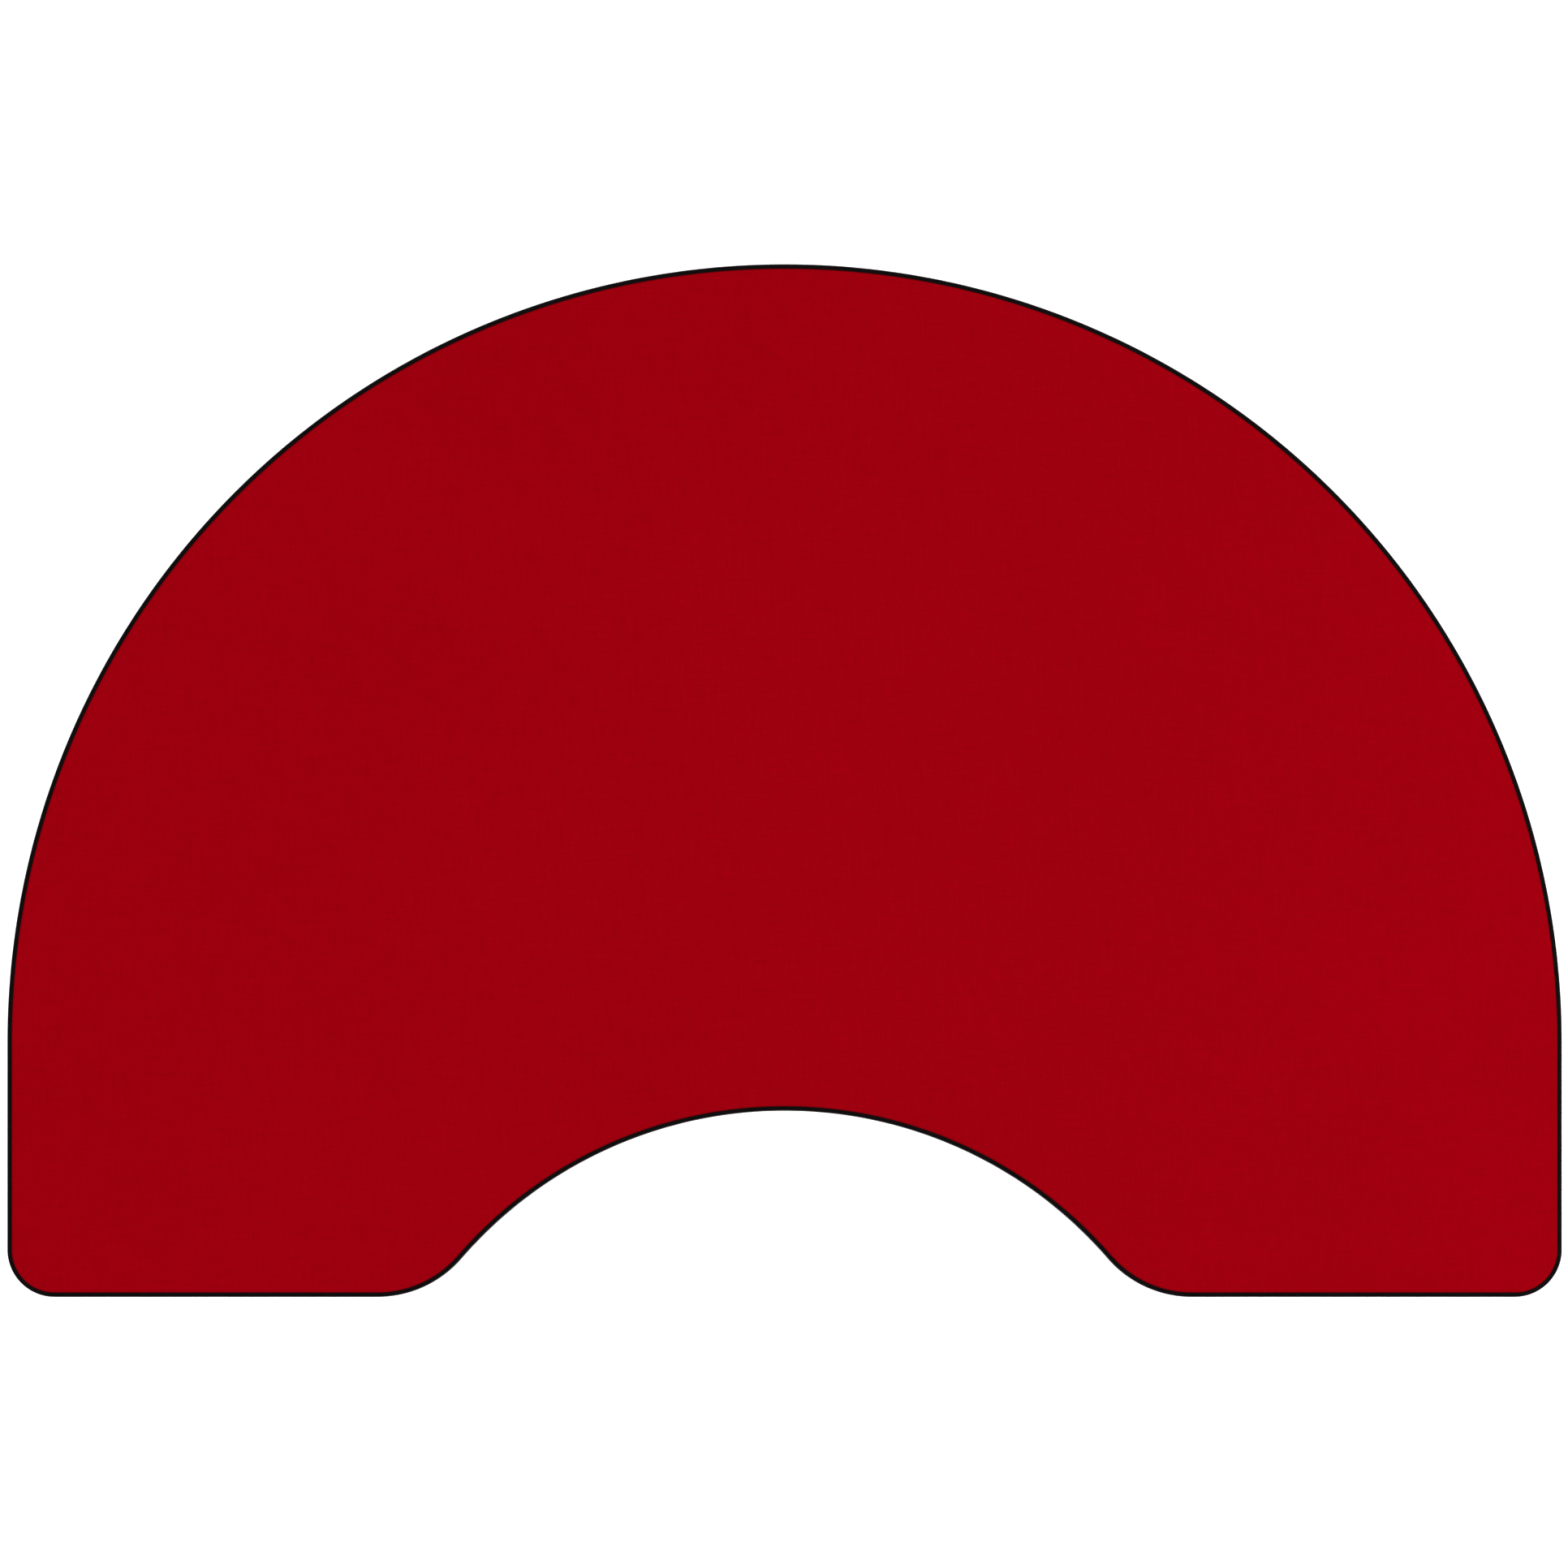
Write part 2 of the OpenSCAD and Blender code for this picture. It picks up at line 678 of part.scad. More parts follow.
// A closed tube along points that keep away from the y direction, with one ring at each.
module wire(points, r, sides) {
    n = len(points);
    rings = [for (i = [0:n - 1])
        let (
            along = points[min(i + 1, n - 1)] - points[max(i - 1, 0)],
            a = cross(along, [0, 1, 0]) / norm(cross(along, [0, 1, 0])),
            b = cross(along, a) / norm(along)
        )
        for (k = [0:sides - 1]) points[i] + r * (a * cos(360 * k / sides) + b * sin(360 * k / sides))];
    polyhedron(rings, concat(
        [[for (k = [0:sides - 1]) sides - 1 - k]],
        [for (i = [0:n - 2], k = [0:sides - 1]) let (m = (k + 1) % sides)
            each [[i * sides + k, i * sides + m, (i + 1) * sides + m],
                [i * sides + k, (i + 1) * sides + m, (i + 1) * sides + k]]],
        [[for (k = [0:sides - 1]) (n - 1) * sides + k]]
    ));
}

// A torsion spring on the latch's pin: one end bears on the plate, the other on the thumb tab.
module latch_spring() {
    coil_r = 4.6;
    wire_r = 0.7;
    wire_gap = 0.2; // from each end of the wire to what it bears on
    per_turn = 14;
    steps = 3 * per_turn + 3;
    pitch = 1.6; // per turn
    first_y = latch_y + pitch;
    coil = [for (i = [0:steps]) let (t = -360 * i / per_turn)
        [coil_r * cos(t), first_y + pitch * i / per_turn, coil_r * sin(t)]];
    up = [coil_r, first_y, pivot_drop - latch_pin.y - wire_r - wire_gap];
    tab = tab_top + [tab_t + wire_r + wire_gap, -tab_len * 0.4] - latch_pin; // before the latch is pressed
    down = [
        tab.x * cos(latch_turn) - tab.y * sin(latch_turn),
        coil[steps].y,
        tab.x * sin(latch_turn) + tab.y * cos(latch_turn),
    ];
    color("gray") translate([latch_pin.x, 0, latch_pin.y])
        wire(concat([up], coil, [down]), wire_r, 6);
}

// ---------------------------------------------------------------- legs

// A cast head that turns on the pivot bolt, with a spigot in the leg tube.
module leg_knuckle() {
    color("gray") difference() {
        union() {
            rotate([90, 0, 0]) cylinder(2 * knuckle_y, r = knuckle_r, center = true);
            translate([-neck_w / 2, -knuckle_y, tube_top]) cube([neck_w, 2 * knuckle_y, -tube_top]);
            translate([0, 0, tube_top - spigot_len]) linear_extrude(spigot_len)
                polygon(rounded(square_points(spigot_w), spigot_r, 3));
        }
        rotate([90, 0, 0]) cylinder(3 * knuckle_y, r = bolt_d / 2 + run_gap, center = true);
        for (turn = [45, -45]) rotate([0, -turn, 0])
            translate([-tooth_w / 2 - notch_gap, -50, knuckle_r - notch_depth - notch_gap])
                cube([tooth_w + 2 * notch_gap, 100, 20]);
        for (z = rivet_z) translate([0, 0, z]) rotate([90, 0, 0])
            cylinder(leg_w, d = rivet_d + 2 * pilot_gap, center = true, $fn = 32);
    }
}

module leg_tube() {
    color([0.09, 0.09, 0.1]) difference() {
        translate([0, 0, tube_z - pivot_z]) linear_extrude(tube_top - tube_z + pivot_z) difference() {
            polygon(rounded(square_points(leg_w), tube_r));
            polygon(rounded(square_points(tube_in), tube_r - leg_wall));
        }
        for (z = rivet_z) translate([0, 0, z]) rotate([90, 0, 0])
            cylinder(2 * leg_w, d = rivet_d + 2 * pilot_gap, center = true, $fn = 32);
    }
}

module knuckle_rivets() {
    color("silver") for (z = rivet_z) translate([0, 0, z]) rotate([90, 0, 0]) {
        cylinder(leg_w + 1, d = rivet_d, center = true, $fn = 32);
        for (turn = [0, 180]) rotate([turn, 0, 0]) translate([0, 0, leg_w / 2]) rotate_extrude($fn = 32)
            polygon(RIVET_HEAD);
    }
}

// A plastic plug with the foot's thread insert through it.
module foot_socket() {
    color([0.12, 0.12, 0.12]) translate([0, 0, -pivot_z]) difference() {
        union() {
            translate([0, 0, socket_z]) linear_extrude(flange_h)
                polygon(rounded(square_points(leg_w), tube_r));
            translate([0, 0, tube_z - EPS]) linear_extrude(plug_len)
                polygon(rounded(square_points(spigot_w), spigot_r, 3));
        }
        translate([0, 0, socket_z - 1]) cylinder(plug_len + flange_h + 2, d = stem_d + 2 * stem_gap);
    }
}

// ---------------------------------------------------------------- feet

module levelling_foot() {
    color("silver") translate([0, 0, pad_h - disc_in - pivot_z]) {
        cylinder(disc_h, d = pad_d - 2 * rim_w);
        cylinder(disc_h + nut_h, d = nut_d, $fn = 6);
        cylinder(disc_h + stem_len, d = stem_d);
    }
}

module foot_pad() {
    color([0.05, 0.05, 0.05]) translate([0, 0, -pivot_z]) difference() {
        rotate_extrude() polygon([
            [0, 0], [pad_d / 2 - 1, 0], [pad_d / 2, 1], [pad_d / 2 - 1.5, pad_h - 0.8],
            [pad_d / 2 - 2.3, pad_h], [0, pad_h],
        ]);
        translate([0, 0, pad_h - disc_in]) cylinder(disc_in + 1, d = pad_d - 2 * (rim_w - pilot_gap));
    }
}

// Rubber stops under the panel, which the folded legs rest on.
module leg_bumpers() {
    tall = pivot_drop + steel_t - leg_w / 2 - bumper_gap;
    color([0.1, 0.1, 0.1]) at_stations(panel_z - tall) translate([bumper_at, 0, 0])
        cylinder(tall, r1 = bumper_r - 1.5, r2 = bumper_r);
}

// ---------------------------------------------------------------- the nodes

top_panel();
foam_underlay();
playing_cloth();
edge_moulding_rim();
edge_moulding_bay();
mirror([1, 0, 0]) apron_board() rear_zone();  // apron_rear_left
apron_board() rear_zone();  // apron_rear_right
mirror([1, 0, 0]) apron_board() side_zone();  // apron_side_left
apron_board() side_zone();  // apron_side_right
mirror([1, 0, 0]) apron_board() front_zone();  // apron_front_left
apron_board() front_zone();  // apron_front_right
apron_board() dealer_zone();  // apron_dealer
centre_rail();
mirror([1, 0, 0]) cross_rail();  // cross_rail_left
cross_rail();  // cross_rail_right
glue_blocks();
angle_brackets();
angle_bracket_screws();
leg_bracket_screws();
pivot_bolts();
pivot_nuts();
pivot_washers();
latch_pins();
leg_bumpers();
for (s = STATIONS) {
    at_station(s) leg_bracket();
    at_station(s) leg_knuckle();
    at_station(s) leg_tube();
    at_station(s) knuckle_rivets();
    at_station(s) foot_socket();
    at_station(s) levelling_foot();
    at_station(s) foot_pad();
    at_station(s) latch_lever();
    at_station(s) latch_spring();
}
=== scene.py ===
"""Looks for a half-moon card table: red cloth, black edge moulding, stained apron, folding steel legs."""

import json
import math

import bpy
import numpy as np
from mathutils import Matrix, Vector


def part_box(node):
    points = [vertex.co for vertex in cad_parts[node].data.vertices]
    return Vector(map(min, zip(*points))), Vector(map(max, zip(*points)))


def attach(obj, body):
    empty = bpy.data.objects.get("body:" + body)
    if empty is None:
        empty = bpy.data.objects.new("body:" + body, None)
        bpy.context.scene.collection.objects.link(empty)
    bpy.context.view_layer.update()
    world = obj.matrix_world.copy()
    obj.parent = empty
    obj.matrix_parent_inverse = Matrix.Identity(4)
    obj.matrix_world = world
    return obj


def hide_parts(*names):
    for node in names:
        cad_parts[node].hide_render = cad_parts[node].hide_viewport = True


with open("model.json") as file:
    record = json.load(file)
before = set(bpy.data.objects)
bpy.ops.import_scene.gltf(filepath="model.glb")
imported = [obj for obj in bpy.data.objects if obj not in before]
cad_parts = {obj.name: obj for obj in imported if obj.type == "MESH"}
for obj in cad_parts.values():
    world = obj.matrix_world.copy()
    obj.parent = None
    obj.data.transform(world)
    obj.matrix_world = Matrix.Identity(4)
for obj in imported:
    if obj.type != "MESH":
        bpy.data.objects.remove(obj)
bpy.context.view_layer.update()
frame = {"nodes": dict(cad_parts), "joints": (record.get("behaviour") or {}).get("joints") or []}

MM = 0.001

# ------------------------------------------------------------------ sizes of the top, in metres

rim_low, rim_high = (np.array(corner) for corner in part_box("edge_moulding_rim"))
HALF_W = rim_high[0]
FRONT_Y = rim_low[1]
ARC_Y = rim_high[1] - HALF_W
TOP_Z = rim_high[2]
MOULD_LOW_Z = rim_low[2]
CLOTH_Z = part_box("playing_cloth")[1][2]
SKIRT_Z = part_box("playing_cloth")[0][2]
FOAM_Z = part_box("foam_underlay")[1][2]
PANEL_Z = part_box("top_panel")[0][2]
PANEL_TOP_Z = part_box("top_panel")[1][2]
CORNER_R = 56 * MM
BAY_R = 502 * MM
BAY_DEPTH = 219 * MM
SHOULDER_R = 131 * MM  # of the soft corners where the bay meets the dealer's edge
CLOTH_IN = HALF_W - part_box("playing_cloth")[1][0]  # from the outline in to the cloth's edge
PANEL_IN = HALF_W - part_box("top_panel")[1][0]
CLOTH_T = CLOTH_Z - FOAM_Z
EDGE_BEND = 2.2 * MM  # outer radius of the cloth where it turns down
BUTT_GAP = 0.2 * MM  # between the ends of the two lengths of moulding
BAY_Y = FRONT_Y - (BAY_R - BAY_DEPTH)
SHOULDER_Y = FRONT_Y + SHOULDER_R
SHOULDER_X = math.sqrt((BAY_R + SHOULDER_R) ** 2 - (SHOULDER_Y - BAY_Y) ** 2)
BAY_ANGLE = math.degrees(math.atan2(SHOULDER_X, SHOULDER_Y - BAY_Y))
CORNER_Y = FRONT_Y + CORNER_R

# ------------------------------------------------------------------ the legs' places

UP = np.array([0.0, 0.0, 1.0])
STATIONS = {}  # each leg's pivot, and the level direction in which the leg folds
for joint in frame["joints"]:
    if joint["name"].startswith("leg_fold_"):
        pivot = np.array(joint["pos_m"])
        fold = np.array([-joint["axis"][1], joint["axis"][0], 0.0])
        STATIONS[joint["name"][len("leg_fold_"):]] = (pivot, fold)

CHEEK_IN = 16.6 * MM  # from the middle of a leg bracket to the inner face of its cheek
CHEEK_OUT = 19.6 * MM  # and to its outer face
BRACKET_T = 3 * MM  # thickness of a leg bracket's steel
BOLT_R = 4 * MM
BOLT_PITCH = 1.25 * MM
BOLT_CORNERS = 14.8 * MM  # across the corners of a bolt's head or nut
RING_COUNT = 48  # points round a bolt, nut or foot

# ------------------------------------------------------------------ meshes


def face_outwards(points, faces):
    """Turns every face over if the mesh's volume, summed over fans of tetrahedra, is negative."""
    volume = 0.0
    for size in sorted({len(face) for face in faces}):
        group = np.array([face for face in faces if len(face) == size])
        first = points[group[:, 0]]
        for k in range(1, size - 1):
            volume += np.einsum("ij,ij->", first, np.cross(points[group[:, k]], points[group[:, k + 1]]))
    return faces if volume > 0 else [face[::-1] for face in faces]


def piece(name, points, faces, finish, smooth=35.0):
    """One object from points and faces, smooth across edges that turn by less than the given angle."""
    mesh = bpy.data.meshes.new(name)
    mesh.from_pydata(points.tolist(), [], faces)
    mesh.polygons.foreach_set("use_smooth", np.ones(len(mesh.polygons), dtype=bool))
    mesh.set_sharp_from_angle(angle=math.radians(smooth))
    mesh.materials.append(finish)
    mesh.validate()
    shape = bpy.data.objects.new(name, mesh)
    bpy.context.scene.collection.objects.link(shape)
    return shape


def band(rows, columns, start=0, round_rows=False, round_columns=False):
    """Quads between neighbouring points of a grid whose rows are stored one after another."""
    i = np.arange(rows if round_rows else rows - 1)[:, None]
    j = np.arange(columns if round_columns else columns - 1)[None, :]
    a = i * columns + j
    b = i * columns + (j + 1) % columns
    c = (i + 1) % rows * columns + (j + 1) % columns
    d = (i + 1) % rows * columns + j
    return (np.stack(np.broadcast_arrays(a, b, c, d), axis=-1).reshape(-1, 4) + start).tolist()


def capped(rows, columns):
    """Faces of a tube of closed rings, with one flat face at each end."""
    last = (rows - 1) * columns
    caps = [list(range(columns))[::-1], list(range(last, last + columns))]
    return band(rows, columns, round_columns=True) + caps


# ------------------------------------------------------------------ the top's outline


def arc(centre, radius, start, end, step=4 * MM, out=1.0):
    """Points centre + radius * (cos, sin), with normals that point out of the top: out is -1 on a hollow."""
    count = max(8, int(abs(math.radians(end - start)) * radius / step)) + 1
    angle = np.radians(np.linspace(start, end, count))
    ray = np.column_stack([np.cos(angle), np.sin(angle)])
    return np.array(centre) + radius * ray, out * ray


def line(start, end, normal, step=4 * MM):
    """Points evenly along a straight edge."""
    count = max(2, int(math.dist(start, end) / step)) + 1
    share = np.linspace(0, 1, count)[:, None]
    return np.array(start) * (1 - share) + np.array(end) * share, np.tile(normal, (count, 1))


def joined(*runs):
    """Runs of points and normals, end to end, with each shared point kept once."""
    points = np.vstack([runs[0][0]] + [run[0][1:] for run in runs[1:]])
    normals = np.vstack([runs[0][1]] + [run[1][1:] for run in runs[1:]])
    return points, normals


def half_bay():
    """From the middle of the bay to its right shoulder's end: a hollow arc, then a round one."""
    return joined(
        arc((0, BAY_Y), BAY_R, 90, 90 - BAY_ANGLE, out=-1.0),
        arc((SHOULDER_X, SHOULDER_Y), SHOULDER_R, 270 - BAY_ANGLE, 270),
    )


def half_rim(start_x):
    """From the dealer's edge round the right corner and side to the middle of the back."""
    return joined(
        line((start_x, FRONT_Y), (HALF_W - CORNER_R, FRONT_Y), (0.0, -1.0)),
        arc((HALF_W - CORNER_R, CORNER_Y), CORNER_R, 270, 360, step=2 * MM),
        line((HALF_W, CORNER_Y), (HALF_W, ARC_Y), (1.0, 0.0)),
        arc((0, ARC_Y), HALF_W, 0, 90),
    )


def mirrored(run):
    """The same run on the left, in the opposite order."""
    flip = np.array([-1.0, 1.0])
    return run[0][::-1] * flip, run[1][::-1] * flip


def carried(profile, run):
    """A profile of (distance in from the outline, height) carried along a run of the outline."""
    points, normals = run
    flat = points[:, None, :] - normals[:, None, :] * profile[None, :, :1]
    height = np.broadcast_to(profile[None, :, 1:], (len(points), len(profile), 1))
    return np.concatenate([flat, height], axis=2).reshape(-1, 3)


def low_edge(x, inset):
    """y of the dealer's side at x: bay, shoulder, straight edge or corner, each drawn in by inset."""
    x = np.abs(x)
    bay = BAY_Y + np.sqrt(np.maximum((BAY_R + inset) ** 2 - x**2, 0))
    shoulder = SHOULDER_Y - np.sqrt(np.maximum((SHOULDER_R - inset) ** 2 - (x - SHOULDER_X) ** 2, 0))
    into_corner = np.maximum(x - (HALF_W - CORNER_R), 0)
    edge = CORNER_Y - np.sqrt(np.maximum((CORNER_R - inset) ** 2 - into_corner**2, 0))
    meet = (BAY_R + inset) * math.sin(math.radians(BAY_ANGLE))
    return np.where(x < meet, bay, np.where(x < SHOULDER_X, shoulder, edge))


def top_sheet(inset, z, columns=401, rows=81):
    """A grid over the top: columns spread as a sine, rows straight from the dealer's side to the back."""
    reach = HALF_W - inset
    x = reach * np.sin(np.linspace(-math.pi / 2, math.pi / 2, columns))
    low = low_edge(x, inset)
    high = ARC_Y + np.sqrt(np.maximum(reach**2 - x**2, 0))
    share = np.linspace(0, 1, rows)[:, None]
    y = low * (1 - share) + high * share
    return np.stack([np.broadcast_to(x, y.shape), y, np.full(y.shape, z)], axis=-1).reshape(-1, 3)


def rim_of_grid(rows, columns):
    """Indices round the edge of a grid, in order."""
    grid = np.arange(rows * columns).reshape(rows, columns)
    return np.concatenate([grid[0, :-1], grid[:-1, -1], grid[-1, :0:-1], grid[:0:-1, 0]])


def turned_down(inset, z, drops, columns=401, rows=81):
    """The grid of the top, with rings added round it: each ring is (distance out, height)."""
    flat = top_sheet(inset, z, columns, rows)
    loop = rim_of_grid(rows, columns)
    edge = flat[loop, :2]
    along = np.roll(edge, -1, axis=0) - np.roll(edge, 1, axis=0)
    normal = np.column_stack([along[:, 1], -along[:, 0]]) / np.linalg.norm(along, axis=1)[:, None]
    added = [np.column_stack([edge + normal * out, np.full(len(edge), height)]) for out, height in drops]
    points = np.vstack([flat] + added)
    faces = band(rows, columns)
    before = loop
    for k in range(len(drops)):
        after = len(flat) + k * len(edge) + np.arange(len(edge))
        quads = [before, after, np.roll(after, -1), np.roll(before, -1)]
        faces += np.column_stack(quads).tolist()
        before = after
    return points, faces


# ------------------------------------------------------------------ finishes


class Finish:
    """A material on a Principled shader, with short calls for the nodes that feed it."""

    def __init__(self, name, **values):
        self.material = bpy.data.materials.new(name)
        self.material.use_nodes = True
        self.nodes = self.material.node_tree.nodes
        self.links = self.material.node_tree.links
        self.shader = self.nodes["Principled BSDF"]
        for socket, value in values.items():
            self.shader.inputs[socket.replace("_", " ")].default_value = value
        self.place = self.nodes.new("ShaderNodeTexCoord").outputs["Object"]

    def add(self, kind, values, out=0, **settings):
        """A node with its settings, and each input either linked or set."""
        node = self.nodes.new(kind)
        for key, value in settings.items():
            setattr(node, key, value)
        for key, value in values.items():
            if isinstance(value, bpy.types.NodeSocket):
                self.links.new(value, node.inputs[key])
            else:
                node.inputs[key].default_value = value
        return node.outputs[out]

    def math(self, operation, a, b=0.0, c=0.0):
        return self.add("ShaderNodeMath", {0: a, 1: b, 2: c}, operation=operation)

    def split(self, vector):
        node = self.nodes.new("ShaderNodeSeparateXYZ")
        self.links.new(vector, node.inputs[0])
        return node.outputs

    def join(self, x, y, z):
        return self.add("ShaderNodeCombineXYZ", {0: x, 1: y, 2: z})

    def stretched(self, x, y, z, turn=0.0):
        """Object coordinates, turned about z, with each axis multiplied."""
        values = {"Vector": self.place, "Scale": (x, y, z), "Rotation": (0, 0, turn)}
        return self.add("ShaderNodeMapping", values)

    def noise(self, scale, detail=2.0, roughness=0.5, vector=None, distortion=0.0):
        values = {"Vector": vector or self.place, "Scale": scale, "Detail": detail}
        values.update({"Roughness": roughness, "Distortion": distortion})
        return self.add("ShaderNodeTexNoise", values)

    def cells(self, scale, vector=None, feature="F1"):
        values = {"Vector": vector or self.place, "Scale": scale}
        return self.add("ShaderNodeTexVoronoi", values, feature=feature)

    def ramp(self, value, *stops):
        """Colours at places along 0 to 1."""
        node = self.nodes.new("ShaderNodeValToRGB")
        while len(node.color_ramp.elements) < len(stops):
            node.color_ramp.elements.new(0.5)
        for element, (place, colour) in zip(node.color_ramp.elements, stops):
            element.position = place
            element.color = (*colour, 1.0) if hasattr(colour, "__len__") else (colour, colour, colour, 1.0)
        self.links.new(value, node.inputs[0])
        return node.outputs["Color"]

    def between(self, value, low, high, to_low=0.0, to_high=1.0):
        """Moves a value from one range to another, held at its ends."""
        values = {"Value": value, "From Min": low, "From Max": high, "To Min": to_low, "To Max": to_high}
        return self.add("ShaderNodeMapRange", values)

    def mix(self, share, a, b, blend="MIX"):
        node = self.nodes.new("ShaderNodeMix")
        node.data_type = "RGBA"
        node.blend_type = blend
        for socket, value in ((node.inputs["Factor"], share), (node.inputs[6], a), (node.inputs[7], b)):
            if isinstance(value, bpy.types.NodeSocket):
                self.links.new(value, socket)
            else:
                socket.default_value = (*value, 1.0) if hasattr(value, "__len__") else value
        return node.outputs[2]

    def colour(self, value):
        self.links.new(value, self.shader.inputs["Base Color"])

    def roughness(self, value):
        self.links.new(value, self.shader.inputs["Roughness"])

    def relief(self, *layers):
        """Bumps, each (height, depth in metres), laid one over another."""
        normal = None
        for height, depth in layers:
            values = {"Height": height, "Distance": depth, "Strength": 1.0}
            if normal:
                values["Normal"] = normal
            normal = self.add("ShaderNodeBump", values)
        self.links.new(normal, self.shader.inputs["Normal"])


def woven_cloth():
    """Close-woven red cloth: crossed threads with slubs, a short nap, broad shading and a little lint. The
    threads are painted lighter where the weave, slubs and nap rise and darker between them, as painted light
    and shade.
    """
    f = Finish("red_woven_cloth", Roughness=0.95, Specular_IOR_Level=0.06, Sheen_Weight=0.05)
    f.shader.inputs["Specular Tint"].default_value = (1.0, 0.02, 0.06, 1.0)
    f.shader.inputs["Sheen Tint"].default_value = (1.0, 0.02, 0.06, 1.0)
    f.shader.inputs["Sheen Roughness"].default_value = 0.6
    x, y, _ = f.split(f.place)
    turns = 2 * math.pi / THREAD_PITCH
    warp = f.math("SINE", f.math("MULTIPLY", x, turns))
    weft = f.math("SINE", f.math("MULTIPLY", y, turns))
    weave = f.math("MULTIPLY", warp, weft)
    per_thread = 0.5 / THREAD_PITCH
    slubs = f.math(
        "ADD",
        f.noise(1.0, 1, 0.5, f.stretched(per_thread, 25, 1)),
        f.noise(1.0, 1, 0.5, f.stretched(25, per_thread, 1)),
    )
    nap = f.noise(2300, 3, 0.65)
    mottle = f.noise(140, 4, 0.6)
    broad = f.noise(4.5, 2, 0.5)
    tone = f.math("ADD", f.math("MULTIPLY", mottle, 0.6), f.math("MULTIPLY", broad, 0.4))
    red = f.ramp(tone, (0.32, CLOTH_DARK), (0.68, CLOTH_LIGHT))
    # Painted light and shade: the red is made lighter where the weave, slubs and nap stand up in the relief
    # and darker in the hollows between them.
    light = f.math("ADD", f.math("MULTIPLY", weave, 0.10), f.math("MULTIPLY", slubs, 0.18))
    light = f.math("ADD", light, f.math("MULTIPLY", nap, 0.5))
    thread = f.between(light, 0.03, 0.83, 0.62, 1.38)
    red = f.mix(1.0, red, f.join(thread, thread, thread), "MULTIPLY")
    speck = f.between(f.cells(2.3), 0.0022, 0.0036, 0.4, 0.0)
    f.colour(f.mix(speck, red, (0.42, 0.10, 0.09)))
    f.relief((nap, 0.16 * MM), (slubs, 0.1 * MM), (weave, 0.05 * MM))
    return f.material


def open_foam():
    """Grey open-cell foam, with pores about a millimetre across, each painted dark inside as painted shade in
    the pore hollows.
    """
    f = Finish("grey_foam", Roughness=1.0, Specular_IOR_Level=0.1)
    pores = f.cells(900)
    # Painted shade: the colour is darkest in the middle of each pore, where the relief dips.
    f.colour(f.ramp(pores, (0.1, (0.03, 0.03, 0.033)), (0.6, (0.16, 0.16, 0.17))))
    f.relief((pores, 0.3 * MM))
    return f.material


def soft_vinyl():
    """Black extruded vinyl: fine lines along its length, dull scuffs and a soft shine."""
    f = Finish("black_soft_vinyl", Roughness=0.5, Specular_IOR_Level=0.06)
    lines = f.noise(1.0, 3, 0.6, f.stretched(6, 6, 3500))
    scuff = f.noise(55, 5, 0.65)
    f.colour(f.ramp(scuff, (0.35, (0.0019, 0.0012, 0.0014)), (0.75, (0.0034, 0.0023, 0.0026))))
    f.roughness(f.between(scuff, 0.35, 0.75, 0.36, 0.58))
    f.relief((f.noise(900, 2), 0.02 * MM), (lines, 0.03 * MM))
    return f.material


def birch_ply():
    """Sanded birch plywood: rotary-cut figure along x on the faces, thin plies across the edges."""
    f = Finish("birch_plywood", Roughness=0.62, Specular_IOR_Level=0.35)
    figure = f.noise(1.0, 5, 0.6, f.stretched(1.1, 9, 9), 1.4)
    growth = f.math("FRACT", f.math("MULTIPLY", figure, 11.0))
    soft = f.ramp(growth, (0.0, (0.58, 0.40, 0.23)), (0.5, (0.66, 0.48, 0.29)), (1.0, (0.58, 0.40, 0.23)))
    pores = f.noise(1.0, 2, 0.5, f.stretched(60, 1500, 1500))
    face = f.mix(f.between(pores, 0.55, 0.8, 0.0, 0.35), soft, (0.36, 0.22, 0.11))
    _, _, z = f.split(f.place)
    ply = f.math("FRACT", f.math("MULTIPLY", z, 1 / (3.0 * MM)))
    edge = f.ramp(ply, (0.0, (0.30, 0.18, 0.09)), (0.06, (0.62, 0.45, 0.27)), (0.5, (0.45, 0.29, 0.15)))
    geometry = f.nodes.new("ShaderNodeNewGeometry")
    upright = f.math("ABSOLUTE", f.split(geometry.outputs["Normal"])[2])
    f.colour(f.mix(f.between(upright, 0.4, 0.6), edge, face))
    f.roughness(f.between(pores, 0.3, 0.8, 0.55, 0.75))
    f.relief((figure, 0.15 * MM), (pores, 0.04 * MM))
    return f.material


def along_board(f, kind):
    """Coordinates with x along the board: round the back's arc, or straight along x or y."""
    x, y, z = f.split(f.place)
    if kind == "arc":
        y = f.math("SUBTRACT", y, ARC_Y)
        angle = f.math("ARCTAN2", y, x)
        return f.join(f.math("MULTIPLY", angle, HALF_W), z, f.math("MULTIPLY", x, 0.03))
    if kind == "side":
        return f.join(y, z, f.math("MULTIPLY", x, 0.08))
    return f.join(x, z, f.math("MULTIPLY", y, 0.08))


def stained_oak(kind):
    """Dark stained open-grained board: long streaks and pores along its length under satin varnish."""
    f = Finish("dark_stained_oak_" + kind, Roughness=0.45, Coat_Weight=0.08, Coat_Roughness=0.35)
    board = along_board(f, kind)
    scaled = f.add("ShaderNodeMapping", {"Vector": board, "Scale": (2.2, 42, 42)})
    fine = f.add("ShaderNodeMapping", {"Vector": board, "Scale": (14, 900, 900)})
    figure = f.noise(1.0, 6, 0.62, scaled, 0.5)
    pores = f.noise(1.0, 3, 0.6, fine)
    wood = f.ramp(figure, (0.28, (0.022, 0.0085, 0.0035)), (0.5, (0.062, 0.024, 0.0095)),
                  (0.72, (0.115, 0.048, 0.018)))
    f.colour(f.mix(f.between(pores, 0.56, 0.72, 0.0, 0.75), wood, (0.010, 0.004, 0.002)))
    f.roughness(f.between(figure, 0.3, 0.7, 0.42, 0.58))
    f.relief((figure, 0.12 * MM), (pores, 0.09 * MM))
    return f.material


